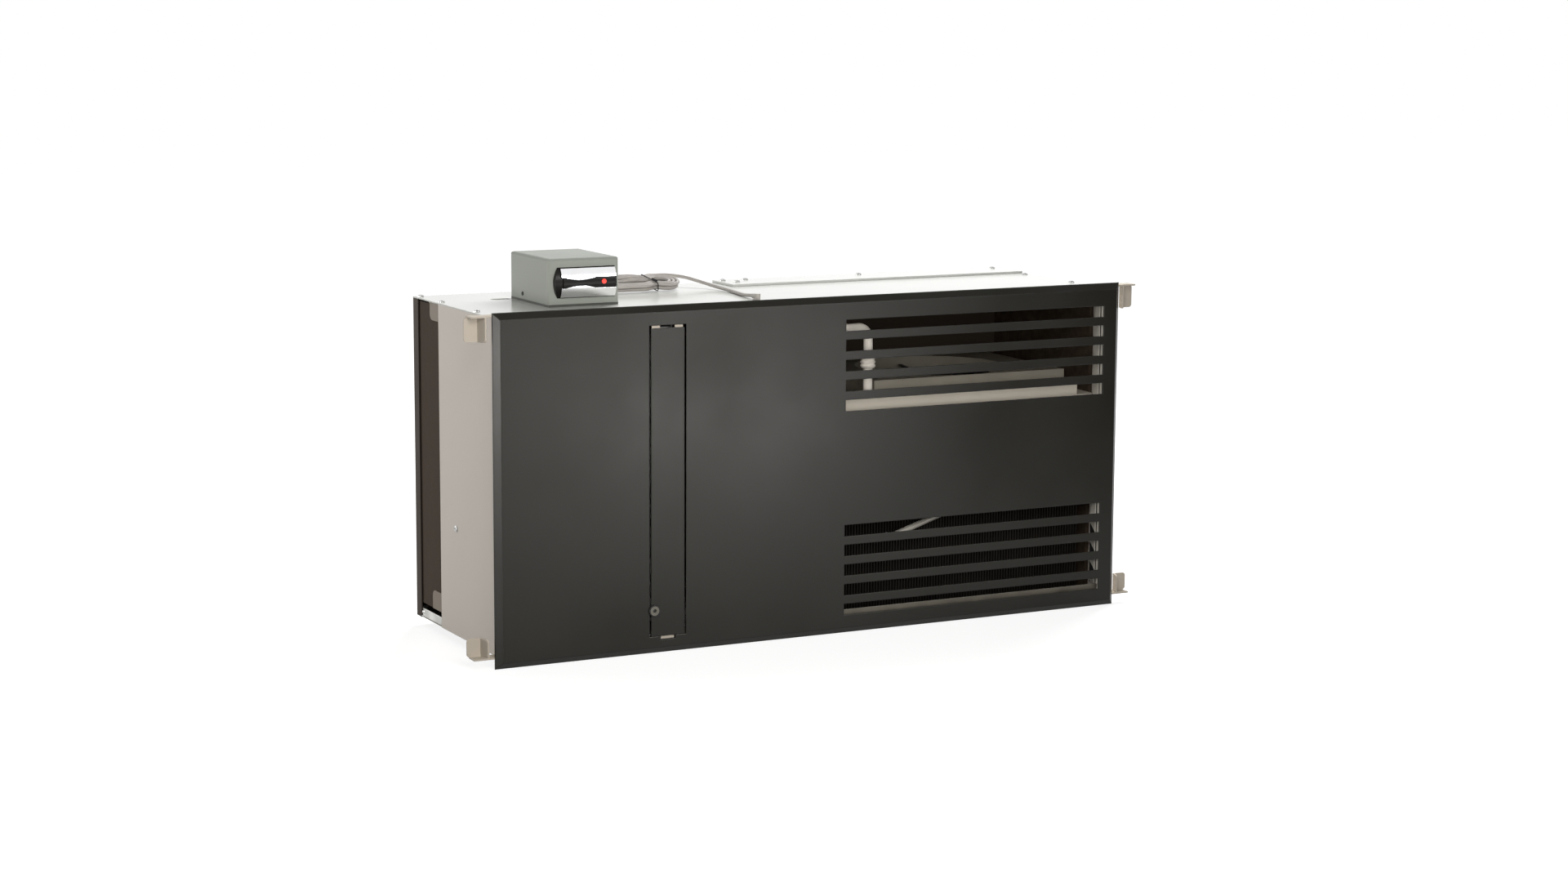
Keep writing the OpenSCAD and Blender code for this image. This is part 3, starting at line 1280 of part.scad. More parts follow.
// Rings left out on each side of a ring when the coil's gap to itself is measured
hank_skip = 6;
hank_near = min([for (i = [0:len(hank_path) - 1], j = [i + hank_skip:1:len(hank_path) - 1])
    norm(hank_path[i] - hank_path[j])]);
echo(hank_gap = hank_near - cable_dia);
hank_sides = 6;
lead_sides = 8;
lead_steps = 3;
module cable_hank() color([0.5, 0.5, 0.49]) {
    sweep(hank_path, cable_dia / 2, hank_sides, [0, 0, 1]);
}
run_route = [[-54, -55.6, 428.7], [-54, -50, 428.65], [-54, -30, 427.5], [-50, 0, 427.35], [-47, 26, 427.5],
    [-48.5, 64, 429.1], [-57, 95, 433.2], [-70, 116, 437.6], [-88, 128, 439.8], hank_first + [14, 3.3, -0.4],
    hank_first + [4.5, 2.2, 0], hank_first];
module cable_run() color([0.5, 0.5, 0.49]) {
    sweep(smooth(run_route, lead_steps), cable_dia / 2, lead_sides, [0, 0, 1]);
}
tail_route = [hank_last, hank_last - [5, 0, 0], hank_last - [26, 0, 0], [-240, 115, 433], [-262, 106, 437],
    [-275, 97, 440.5], [-278, 91, 441], [-278, 86.3, 441]];
module cable_tail() color([0.5, 0.5, 0.49]) {
    sweep(smooth(tail_route, lead_steps), cable_dia / 2, lead_sides, [0, 0, 1]);
}
tie_w = 3.6;
tie_t = 0.8;
tie_head = 5;
tie_half = hank_out - waist_in + cable_dia / 2 + 4 * slip;
// Height of the coil's underside, less a gap, at the distance y behind its middle
function under_hank(y) = hank_z - cable_dia / 2 - slip + hank_tilt_share * (y + hank_out);
module cable_tie() color([0.05, 0.05, 0.05]) {
    tall = cable_dia + hank_layer * (hank_layers - 1) + 2 * slip;
    outer = tie_half + tie_t;
    translate([hank_x + tie_off, hank_y, 0]) {
        along_x(-tie_w / 2, tie_w / 2) difference() {
            polygon([[-outer, under_hank(-tie_half) - tie_t], [outer, under_hank(tie_half) - tie_t],
                [outer, under_hank(tie_half) + tall + tie_t],
                [-outer, under_hank(-tie_half) + tall + tie_t]]);
            polygon([[-tie_half, under_hank(-tie_half)], [tie_half, under_hank(tie_half)],
                [tie_half, under_hank(tie_half) + tall], [-tie_half, under_hank(-tie_half) + tall]]);
        }
        span([-tie_w / 2 - tie_t, -tie_half - tie_head, under_hank(-tie_half)],
            [tie_w / 2 + tie_t, -tie_half, under_hank(-tie_half) + tall - slip]);
    }
}

front_panel();
base_pan();
left_side_panel();
right_side_panel();
rear_panel();
top_cover();
top_rear_strip();
cover_screws();
side_screws();
corner_ears();
rubber_feet();
partition_wall();
side_liner();
drain_pan();
evaporator_fins();
evaporator_end_plates();
evaporator_tubes();
evaporator_shroud();
evaporator_fan_motor();
evaporator_fan_blade();
filter_rails();
access_strip();
filter_frame();
filter_media();
retaining_screw();
screw_receiver();
divider_shelf();
condenser_fan_frame();
condenser_fan_motor();
condenser_fan_blade();
condenser_fins();
condenser_tubes();
compressor_shell();
compressor_terminal_cover();
compressor_grommets();
compressor_bolts();
suction_line();
line_coupling();
discharge_line();
liquid_line();
filter_drier();
control_box();
run_capacitor();
power_inlet();
drain_outlet();
controller_base();
controller_cover();
controller_board();
controller_screws();
display_pod();
display_window();
upper_key();
lower_key();
status_lamp();
controller_gland();
cover_gland();
cable_run();
cable_hank();
cable_tail();
cable_tie();
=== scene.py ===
"""Looks of the enclosure cooling unit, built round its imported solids. Lengths are in metres, and in
millimetres where a comment says so."""
import math

import bmesh
import bpy
from mathutils import Matrix, Vector


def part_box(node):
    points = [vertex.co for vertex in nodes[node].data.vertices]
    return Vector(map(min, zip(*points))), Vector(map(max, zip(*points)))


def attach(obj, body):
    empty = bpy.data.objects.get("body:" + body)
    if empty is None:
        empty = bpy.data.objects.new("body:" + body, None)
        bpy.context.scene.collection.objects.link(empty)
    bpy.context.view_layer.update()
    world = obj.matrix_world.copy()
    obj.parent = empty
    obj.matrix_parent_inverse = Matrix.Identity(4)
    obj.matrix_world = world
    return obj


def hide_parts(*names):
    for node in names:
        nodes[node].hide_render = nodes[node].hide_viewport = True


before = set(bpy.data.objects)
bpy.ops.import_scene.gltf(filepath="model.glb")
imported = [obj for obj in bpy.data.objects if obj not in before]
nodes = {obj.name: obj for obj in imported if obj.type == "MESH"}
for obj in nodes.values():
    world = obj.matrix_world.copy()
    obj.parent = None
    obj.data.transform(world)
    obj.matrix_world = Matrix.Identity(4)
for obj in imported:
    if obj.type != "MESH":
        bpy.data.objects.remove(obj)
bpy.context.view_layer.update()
MM = 0.001
ROOT = "cooling_unit"


def srgb(r, g, b):
    """Linear colour from 0 to 255 screen values."""
    return tuple(
        c / 255 / 12.92 if c <= 10 else ((c / 255 + 0.055) / 1.055) ** 2.4
        for c in (r, g, b)
    )


# Camera

# Fitted to the photograph's vanishing lines. Angles are in radians, the lens and the sensor in millimetres.
CAMERA_AT = Vector((-1.77574, -3.454035, 0.832264))
CAMERA_YAW = -0.479516
CAMERA_PITCH = -0.153656
CAMERA_ROLL = -0.00584716
CAMERA_LENS = 69.18
SENSOR_WIDTH = 36
CLIP_END = 100


def make_camera():
    data = bpy.data.cameras.new("photo_camera")
    data.lens = CAMERA_LENS
    data.sensor_width = SENSOR_WIDTH
    data.clip_end = CLIP_END
    camera = bpy.data.objects.new("photo_camera", data)
    bpy.context.scene.collection.objects.link(camera)
    turn = (
        Matrix.Rotation(CAMERA_YAW, 3, "Z")
        @ Matrix.Rotation(CAMERA_PITCH, 3, "X")
        @ Matrix.Rotation(CAMERA_ROLL, 3, "Y")
    )
    right, forward, up = turn.col[0], turn.col[1], turn.col[2]
    axes = Matrix((right, up, -forward)).transposed()
    camera.matrix_world = Matrix.Translation(CAMERA_AT) @ axes.to_4x4()
    bpy.context.scene.camera = camera


make_camera()


# Materials

# Settings shared by every finish. A band is the part of a noise that is spread over the whole range of a
# colour, a gloss or a mask.
COLOUR_INPUTS = (6, 7)
COLOUR_OUTPUT = 2
EDGE_SAMPLES = 6
EDGE_COSINES = (0.985, 0.9)
MOTTLE_DETAIL = 4
MOTTLE_BAND = (0.3, 0.7)
GLOSS_BAND = (0.25, 0.75)
LEAST_ROUGH = 0.02
SMUDGES = {"scale": 5, "detail": 6, "rough": 0.65}
SMUDGE_BAND = (0.5, 0.75)
WEAR_PATCHES = {"scale": 60, "detail": 5}
WEAR_BAND = (0.35, 0.65)
WEAR_GAIN = 1.6
WEAR_LIFT = 0.03
GRAIN_DETAIL = 2
GRAIN_DEPTH = 0.0004
PAINT_STEP = 0.0005


def shader(name):
    """New material with its node tree cleared down to a Principled shader."""
    mat = bpy.data.materials.new(name)
    mat.use_nodes = True
    tree = mat.node_tree
    tree.nodes.clear()
    out = tree.nodes.new("ShaderNodeOutputMaterial")
    bsdf = tree.nodes.new("ShaderNodeBsdfPrincipled")
    tree.links.new(bsdf.outputs["BSDF"], out.inputs["Surface"])
    return mat, tree, bsdf


def noise(tree, vector, scale, detail=3.0, rough=0.5):
    node = tree.nodes.new("ShaderNodeTexNoise")
    node.inputs["Scale"].default_value = scale
    node.inputs["Detail"].default_value = detail
    node.inputs["Roughness"].default_value = rough
    tree.links.new(vector, node.inputs["Vector"])
    return node.outputs["Fac"]


def spread(tree, value, low, high, out_low, out_high):
    node = tree.nodes.new("ShaderNodeMapRange")
    node.inputs["From Min"].default_value = low
    node.inputs["From Max"].default_value = high
    node.inputs["To Min"].default_value = out_low
    node.inputs["To Max"].default_value = out_high
    tree.links.new(value, node.inputs["Value"])
    return node.outputs["Result"]


def arith(tree, kind, a, b):
    node = tree.nodes.new("ShaderNodeMath")
    node.operation = kind
    for socket, value in zip(node.inputs, (a, b)):
        if isinstance(value, (int, float)):
            socket.default_value = value
        else:
            tree.links.new(value, socket)
    return node.outputs[0]


def mix_colour(tree, factor, a, b):
    node = tree.nodes.new("ShaderNodeMix")
    node.data_type = "RGBA"
    tree.links.new(factor, node.inputs["Factor"])
    for index, value in zip(COLOUR_INPUTS, (a, b)):
        if isinstance(value, tuple):
            node.inputs[index].default_value = (*value, 1)
        else:
            tree.links.new(value, node.inputs[index])
    return node.outputs[COLOUR_OUTPUT]


def edge_mask(tree, radius):
    """1 near the edges of a solid and 0 on its flats, with the rounded normal."""
    bevel = tree.nodes.new("ShaderNodeBevel")
    bevel.samples = EDGE_SAMPLES
    bevel.inputs["Radius"].default_value = radius
    geometry = tree.nodes.new("ShaderNodeNewGeometry")
    dot = tree.nodes.new("ShaderNodeVectorMath")
    dot.operation = "DOT_PRODUCT"
    tree.links.new(bevel.outputs["Normal"], dot.inputs[0])
    tree.links.new(geometry.outputs["Normal"], dot.inputs[1])
    return spread(tree, dot.outputs["Value"], *EDGE_COSINES, 0, 1), bevel.outputs["Normal"]


def finish(
    name,
    colour,
    metallic=0.0,
    rough=0.5,
    rough_range=0.08,
    specular=0.5,
    mottle=0.06,
    mottle_scale=14.0,
    grain_scale=900.0,
    grain=0.04,
    edge=0.0007,
    wear=0.25,
    wear_colour=None,
    dirt=0.0,
    dirt_colour=(0.05, 0.045, 0.04),
    shade_colour=None,
    shade_from_y=0.0,
):
    """Procedural finish: mottled colour, uneven gloss, grain, softened and worn edges.
    Beyond a given Y, measured on the part, the colour changes to a second one, which paints shade there."""
    mat, tree, bsdf = shader(name)
    place = tree.nodes.new("ShaderNodeTexCoord").outputs["Object"]
    broad = noise(tree, place, mottle_scale, MOTTLE_DETAIL)
    fine = noise(tree, place, grain_scale, GRAIN_DETAIL)
    low = tuple(c * (1 - mottle) for c in colour)
    high = tuple(min(1, c * (1 + mottle)) for c in colour)
    base = mix_colour(tree, spread(tree, broad, *MOTTLE_BAND, 0, 1), low, high)
    # Painted shade: past the given Y the colour turns to the shade colour.
    if shade_colour:
        split = tree.nodes.new("ShaderNodeSeparateXYZ")
        tree.links.new(place, split.inputs["Vector"])
        beyond = spread(tree, split.outputs["Y"], shade_from_y - PAINT_STEP, shade_from_y, 0, 1)
        base = mix_colour(tree, beyond, base, shade_colour)
    if dirt:
        smudge = noise(tree, place, **SMUDGES)
        base = mix_colour(tree, spread(tree, smudge, *SMUDGE_BAND, 0, dirt), base, dirt_colour)
    mask, normal = edge_mask(tree, edge)
    if wear:
        patches = spread(tree, noise(tree, place, **WEAR_PATCHES), *WEAR_BAND, 0, wear)
        light = wear_colour or tuple(min(1, c * WEAR_GAIN + WEAR_LIFT) for c in colour)
        base = mix_colour(tree, arith(tree, "MULTIPLY", mask, patches), base, light)
    tree.links.new(base, bsdf.inputs["Base Color"])
    gloss = spread(tree, broad, *GLOSS_BAND, max(LEAST_ROUGH, rough - rough_range), rough + rough_range)
    tree.links.new(gloss, bsdf.inputs["Roughness"])
    bump = tree.nodes.new("ShaderNodeBump")
    bump.inputs["Strength"].default_value = grain
    bump.inputs["Distance"].default_value = GRAIN_DEPTH
    tree.links.new(fine, bump.inputs["Height"])
    tree.links.new(normal, bump.inputs["Normal"])
    tree.links.new(bump.outputs["Normal"], bsdf.inputs["Normal"])
    bsdf.inputs["Metallic"].default_value = metallic
    bsdf.inputs["Specular IOR Level"].default_value = specular
    return mat


graphite = finish("graphite_powder_coat", srgb(34, 33, 29), rough=0.34, specular=0.3, mottle=0.05,
                  mottle_scale=5, grain_scale=1500, grain=0.06, edge=0.0016, wear=0.25,
                  wear_colour=srgb(96, 95, 88))
BEIGE = srgb(204, 197, 189)
BEIGE_COAT = {"rough": 0.55, "specular": 0.25, "mottle": 0.02, "mottle_scale": 4, "grain_scale": 1300,
              "grain": 0.08, "wear": 0.1, "dirt": 0.05, "dirt_colour": srgb(150, 140, 130)}
beige = finish("beige_powder_coat", BEIGE, **BEIGE_COAT)
# The left side's rear tabs, beyond 60 mm in Y, get a darker brown that paints the shade they lie in.
bay_side = finish("beige_paint_with_painted_shade", BEIGE, shade_colour=srgb(128, 118, 106), shade_from_y=0.06, **BEIGE_COAT)
dark_sheet = finish("dark_brown_paint", srgb(62, 54, 47), rough=0.6, specular=0.1, mottle=0.06,
                    mottle_scale=6, grain_scale=1300, grain=0.08, wear=0.1, wear_colour=srgb(80, 71, 63))
cover_paint = finish("pale_gloss_cover", srgb(206, 207, 203), rough=0.16, rough_range=0.04, specular=0.2,
                     mottle=0.015, mottle_scale=3, grain_scale=300, grain=0.02, wear=0.1, dirt=0.04)
cream = finish("cream_bracket_paint", srgb(184, 175, 162), rough=0.5, specular=0.3, mottle=0.03,
               mottle_scale=25, grain_scale=1200, grain=0.08, wear=0.3, wear_colour=srgb(232, 224, 210))
# The shelf is cream like the brackets. Its lighter colour is painted light, because the shelf lies in shade
# behind the grille.
lightened_cream = finish("cream_paint_with_painted_light", srgb(222, 214, 200), rough=0.45, specular=0.3, mottle=0.03,
                     mottle_scale=25, grain_scale=1200, grain=0.08, wear=0.3,
                     wear_colour=srgb(240, 232, 220))
frame_grey = finish("fan_frame_steel", srgb(150, 144, 132), metallic=0.1, rough=0.5, specular=0.3,
                    mottle=0.08, mottle_scale=30, grain_scale=1000, grain=0.06, wear=0.3)
zinc = finish("zinc_sheet", (0.56, 0.56, 0.54), metallic=0.85, rough=0.36, rough_range=0.12, mottle=0.14,
              mottle_scale=45, grain_scale=500, grain=0.04, wear=0.2, wear_colour=(0.8, 0.8, 0.78))
pan_zinc = finish("dulled_zinc_sheet", srgb(104, 100, 90), metallic=0.5, rough=0.45, rough_range=0.1,
                  mottle=0.14, mottle_scale=45, grain_scale=500, grain=0.04, wear=0.25,
                  wear_colour=(0.5, 0.5, 0.47), dirt=0.15)
steel = finish("bright_screw_steel", (0.62, 0.62, 0.61), metallic=1.0, rough=0.24, mottle=0.08,
               mottle_scale=120, grain_scale=2500, grain=0.05, edge=0.0003, wear=0.4,
               wear_colour=(0.85, 0.85, 0.84))
dark_steel = finish("blackened_screw_steel", srgb(42, 42, 42), metallic=0.7, rough=0.35, mottle=0.1,
                    mottle_scale=120, grain_scale=2500, edge=0.0003, wear=0.4,
                    wear_colour=(0.35, 0.35, 0.35))
fin_metal = finish("coated_fin_aluminium", srgb(146, 130, 114), metallic=0.1, rough=0.6, specular=0.2,
                   mottle=0.14, mottle_scale=40, grain_scale=800, wear=0.0, edge=0.0001, dirt=0.2)
condenser_metal = finish("dusty_fin_aluminium", srgb(36, 33, 29), metallic=0.2, rough=0.6, specular=0.2,
                         mottle=0.18, mottle_scale=40, grain_scale=800, wear=0.1, dirt=0.3)
copper = finish("tarnished_copper", (0.62, 0.33, 0.2), metallic=1.0, rough=0.32, mottle=0.2,
                mottle_scale=35, grain_scale=700, wear=0.2, dirt=0.2)
matte_black = finish("black_moulded_plastic", srgb(24, 24, 24), rough=0.5, mottle=0.1, mottle_scale=60,
                     grain_scale=1600, grain=0.12, edge=0.0004, wear=0.2)
gloss_black = finish("black_gloss_plastic", srgb(24, 23, 21), rough=0.3, rough_range=0.04, specular=0.15,
                     mottle=0.1, mottle_scale=60, grain_scale=1800, grain=0.02, edge=0.0005, wear=0.15)
smoked = finish("smoked_window", srgb(20, 19, 18), rough=0.25, rough_range=0.03, specular=0.15, mottle=0.1,
                mottle_scale=50, grain_scale=1500, grain=0.01, edge=0.0003, wear=0.1)
chrome = finish("chromed_key", (0.86, 0.86, 0.87), metallic=1.0, rough=0.08, rough_range=0.03,
                mottle=0.02, mottle_scale=40, grain_scale=1200, grain=0.01, edge=0.0006, wear=0.1,
                wear_colour=(0.95, 0.95, 0.95))
hammer_grey = finish("grey_green_enamel", srgb(150, 154, 147), rough=0.42, specular=0.15, mottle=0.025,
                     mottle_scale=12, grain_scale=900, grain=0.1, edge=0.0012, wear=0.12,
                     wear_colour=srgb(185, 188, 183))
rubber = finish("black_rubber", srgb(26, 26, 26), rough=0.72, specular=0.3, mottle=0.12, mottle_scale=60,
                grain_scale=900, grain=0.2, wear=0.15)
felt = finish("brown_felt", srgb(62, 53, 44), rough=0.95, specular=0.1, mottle=0.25, mottle_scale=90,
              grain_scale=450, grain=0.7, wear=0.0)
foam_board = finish("insulation_board", srgb(60, 56, 50), rough=0.85, specular=0.2, mottle=0.12,
                    mottle_scale=50, grain_scale=300, grain=0.4, wear=0.1)
fleece = finish("filter_fleece", srgb(205, 207, 200), rough=0.95, specular=0.1, mottle=0.12,
                mottle_scale=80, grain_scale=380, grain=0.8, wear=0.0, dirt=0.2)
white_foam = finish("white_foam_sleeve", srgb(236, 230, 220), rough=0.6, specular=0.3, mottle=0.05,
                    mottle_scale=70, grain_scale=420, grain=0.3, wear=0.0, dirt=0.05)
black_shell = finish("black_enamel", srgb(22, 22, 22), rough=0.3, mottle=0.08, mottle_scale=25,
                     grain_scale=600, grain=0.08, wear=0.15, dirt=0.1)
line_grey = finish("grey_coated_line", srgb(196, 192, 182), metallic=0.2, rough=0.4, mottle=0.1,
                   mottle_scale=60, grain_scale=900, wear=0.1)
board_green = finish("circuit_board", (0.03, 0.16, 0.08), rough=0.35, mottle=0.3, mottle_scale=160,
                     grain_scale=900, wear=0.1)
cable_skin = finish("grey_cable_jacket", srgb(172, 167, 162), rough=0.42, mottle=0.08, mottle_scale=90,
                    grain_scale=1400, grain=0.1, wear=0.0, edge=0.0002, dirt=0.1)
base_grey = finish("dark_grey_base_plate", srgb(84, 86, 82), rough=0.5, specular=0.2, mottle=0.05,
                   mottle_scale=30, grain_scale=900, grain=0.1, edge=0.0004, wear=0.2)
dusty_copper = finish("dusty_copper", srgb(30, 27, 24), rough=0.65, specular=0.1, mottle=0.2,
                      mottle_scale=40, grain_scale=700, wear=0.1, dirt=0.4)
lock_grey = finish("dull_screw_head", srgb(104, 101, 92), metallic=0.3, rough=0.4, mottle=0.1,
                   mottle_scale=120, grain_scale=2500, edge=0.0004, wear=0.5,
                   wear_colour=srgb(150, 147, 136))
pad_brown = finish("brown_foam_seal", srgb(70, 61, 53), rough=0.85, specular=0.1, mottle=0.12,
                   mottle_scale=60, grain_scale=450, grain=0.4, wear=0.0)
edge_zinc = finish("edge_strip_zinc", srgb(206, 202, 192), metallic=0.2, rough=0.45, mottle=0.08,
                   mottle_scale=60, grain_scale=700, grain=0.05, wear=0.2)

LENS_DARK = (0.75, 0.01, 0.005)
LENS_LIGHT = (0.95, 0.05, 0.02)
LENS_GRAIN = 700
LENS_GLOW = 0.55
LENS_ROUGH = 0.15


def lamp_material():
    """Red lens that glows a little from inside."""
    mat, tree, bsdf = shader("red_lamp_lens")
    place = tree.nodes.new("ShaderNodeTexCoord").outputs["Object"]
    base = mix_colour(tree, noise(tree, place, LENS_GRAIN), LENS_DARK, LENS_LIGHT)
    tree.links.new(base, bsdf.inputs["Base Color"])
    tree.links.new(base, bsdf.inputs["Emission Color"])
    bsdf.inputs["Emission Strength"].default_value = LENS_GLOW
    bsdf.inputs["Roughness"].default_value = LENS_ROUGH
    return mat


red_lens = lamp_material()

LOOKS = {
    "front_panel": graphite, "access_strip": graphite,
    "left_side_panel": bay_side, "right_side_panel": beige, "rear_panel": dark_sheet,
    "top_cover": cover_paint, "top_rear_strip": cover_paint,
    "cover_screws": steel, "side_screws": steel, "compressor_bolts": steel,
    "retaining_screw": lock_grey, "controller_screws": dark_steel,
    "corner_ears": cream, "divider_shelf": lightened_cream, "condenser_fan_frame": frame_grey,
    "filter_frame": cream,
    "base_pan": pan_zinc, "drain_pan": zinc, "evaporator_shroud": zinc, "filter_rails": zinc,
    "evaporator_end_plates": pan_zinc, "screw_receiver": zinc, "control_box": zinc, "run_capacitor": zinc,
    "rubber_feet": rubber, "compressor_grommets": rubber, "controller_gland": rubber,
    "partition_wall": foam_board, "side_liner": felt, "filter_media": fleece,
    "evaporator_fins": fin_metal, "condenser_fins": condenser_metal,
    "evaporator_tubes": copper, "condenser_tubes": dusty_copper,
    "liquid_line": copper, "filter_drier": copper,
    "evaporator_fan_motor": black_shell, "condenser_fan_motor": black_shell,
    "compressor_shell": black_shell,
    "evaporator_fan_blade": matte_black, "condenser_fan_blade": matte_black,
    "compressor_terminal_cover": matte_black, "power_inlet": matte_black, "controller_base": base_grey,
    "cover_gland": cable_skin, "cable_tie": matte_black,
    "suction_line": white_foam, "line_coupling": white_foam, "drain_outlet": white_foam,
    "discharge_line": line_grey, "controller_board": board_green,
    "controller_cover": hammer_grey, "display_pod": gloss_black, "display_window": smoked,
    "upper_key": chrome, "lower_key": chrome, "status_lamp": red_lens,
    "cable_run": cable_skin, "cable_hank": cable_skin, "cable_tail": cable_skin,
}
for name, mat in LOOKS.items():
    mesh = nodes[name].data
    mesh.materials.clear()
    mesh.materials.append(mat)


# Building helpers

TUBE_RINGS = 4


def piece(name, mesh, mat, body=ROOT, smooth=True):
    """New object that rides on a body and takes its finish from a material slot."""
    obj = bpy.data.objects.new(name, mesh)
    bpy.context.scene.collection.objects.link(obj)
    mesh.materials.append(mat)
    if smooth and isinstance(mesh, bpy.types.Mesh):
        for face in mesh.polygons:
            face.use_smooth = True
    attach(obj, body)
    return obj


def add_box(bm, low, high):
    """Closed block between two corners."""
    corners = [
        bm.verts.new((x, y, z))
        for x in (low[0], high[0])
        for y in (low[1], high[1])
        for z in (low[2], high[2])
    ]
    for face in ((0, 1, 3, 2), (4, 6, 7, 5), (0, 4, 5, 1), (2, 3, 7, 6), (0, 2, 6, 4), (1, 5, 7, 3)):
        bm.faces.new([corners[i] for i in face])


def mesh_from(bm, name):
    bmesh.ops.recalc_face_normals(bm, faces=bm.faces)
    mesh = bpy.data.meshes.new(name)
    bm.to_mesh(mesh)
    bm.free()
    return mesh


def tube_curve(name, points, radius, cyclic=False):
    """Round tube along points, as one open or closed spline."""
    curve = bpy.data.curves.new(name, "CURVE")
    curve.dimensions = "3D"
    curve.bevel_depth = radius
    curve.bevel_resolution = TUBE_RINGS
    curve.use_fill_caps = True
    spline = curve.splines.new("POLY")
    spline.points.add(len(points) - 1)
    for target, point in zip(spline.points, points):
        target.co = (*point, 1)
    spline.use_cyclic_u = cyclic
    spline.use_smooth = True
    return curve


# Controller lead, in millimetres

# The route is that of the solids. The hank is a flat winding with straight long sides. Its turns lie side
# by side in each layer, and the tie pulls them in at one place.
CABLE_DIA = 4.5
HANK_AT = (-152.0, 97.0)
HANK_LOW = 427.75
HANK_HALF = 34.0
HANK_R = 16.0
HANK_STEP = 5.6
HANK_LAYER = 5.1
HANK_TURNS = 3
HANK_LAYERS = 2
HANK_COUNT = 5.25
HANK_RINGS = 48
HANK_TILT = 0.123
HANK_OUT = HANK_R + HANK_STEP * HANK_TURNS
WAIST_IN = 9.0
WAIST_W = 10.0
TIE_OFF = 24.0
TIE_WIRE = 0.6
TIE_BEND = 3.0
TIE_BEND_STEPS = 8
TWIST_R = 0.8
TWIST_TURNS = 4
TWIST_STEPS = 40
TWIST_FROM = 4.0
TWIST_LENGTH = 14.0
TWIST_LIFT = 1.6
ROUTE_STEPS = 6
RUN_ROUTE = [(-54, -55.6, 428.7), (-54, -50, 428.65), (-54, -30, 427.5), (-50, 0, 427.35), (-47, 26, 427.5),
             (-48.5, 64, 429.1), (-57, 95, 433.2), (-70, 116, 437.6), (-88, 128, 439.8)]
RUN_LAST = ((14, 3.3, -0.4), (4.5, 2.2, 0))
TAIL_FIRST = ((-5, 0, 0), (-26, 0, 0))
TAIL_ROUTE = [(-240, 115, 433), (-262, 106, 437), (-275, 97, 440.5), (-278, 91, 441), (-278, 86.3, 441)]


def hank_point(turn):
    """Point of the coiled lead after a number of turns from its top layer. Each turn is a straight side,
    a half circle, the other straight side and the other half circle. Odd layers wind outwards again."""
    share = turn - math.floor(turn)
    layer = math.floor(turn / HANK_TURNS)
    part = turn / HANK_TURNS - layer
    radius = HANK_R + HANK_STEP * HANK_TURNS * (1 - part if layer % 2 == 0 else part)
    done = turn - layer * HANK_TURNS
    level = layer if layer == 0 or done > 0.25 else layer - 1 + 4 * done
    if share < 0.25:
        x, y = HANK_HALF * (1 - 8 * share), radius
    elif share < 0.5:
        angle = 4 * math.pi * (share - 0.25)
        x, y = -HANK_HALF - radius * math.sin(angle), radius * math.cos(angle)
    elif share < 0.75:
        x, y = -HANK_HALF + 8 * HANK_HALF * (share - 0.5), -radius
    else:
        angle = 4 * math.pi * (share - 0.75)
        x, y = HANK_HALF + radius * math.sin(angle), -radius * math.cos(angle)
    y -= math.copysign(WAIST_IN, y) * math.exp(-(((x - TIE_OFF) / WAIST_W) ** 2))
    z = HANK_LOW + HANK_LAYER * (HANK_LAYERS - 1 - level) + HANK_TILT * (y + HANK_OUT)
    return Vector((HANK_AT[0] + x, HANK_AT[1] + y, z))


def curve_through(points, steps):
    """Smooth curve through points, each span split into steps."""
    last = len(points) - 1
    result = []
    for i in range(last):
        a, b, c, d = (points[j] for j in (max(i - 1, 0), i, i + 1, min(i + 2, last)))
        for k in range(steps):
            t = k / steps
            result.append(0.5 * (2 * b + (c - a) * t + (2 * a - 5 * b + 4 * c - d) * t * t
                                 + (3 * b - a - 3 * c + d) * t ** 3))
    return result + [points[-1]]


def lead_points():
    """Route of the whole lead from the gland in the cover to the controller."""
    hank = [hank_point(i / HANK_RINGS) for i in range(int(HANK_COUNT * HANK_RINGS) + 1)]
    run = [Vector(p) for p in RUN_ROUTE] + [hank[0] + Vector(p) for p in RUN_LAST] + [hank[0]]
    tail = [hank[-1]] + [hank[-1] + Vector(p) for p in TAIL_FIRST] + [Vector(p) for p in TAIL_ROUTE]
    return [p * MM for p in curve_through(run, ROUTE_STEPS) + hank[1:] + curve_through(tail, ROUTE_STEPS)[1:]]


def make_lead():
    points = lead_points()
    length = sum((b - a).length for a, b in zip(points, points[1:]))
    curve = tube_curve("controller_lead", points, CABLE_DIA / 2 * MM)
    lead = piece("controller_lead", curve, cable_skin)
    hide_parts("cable_run", "cable_hank", "cable_tail")
    return lead, length, points[0]


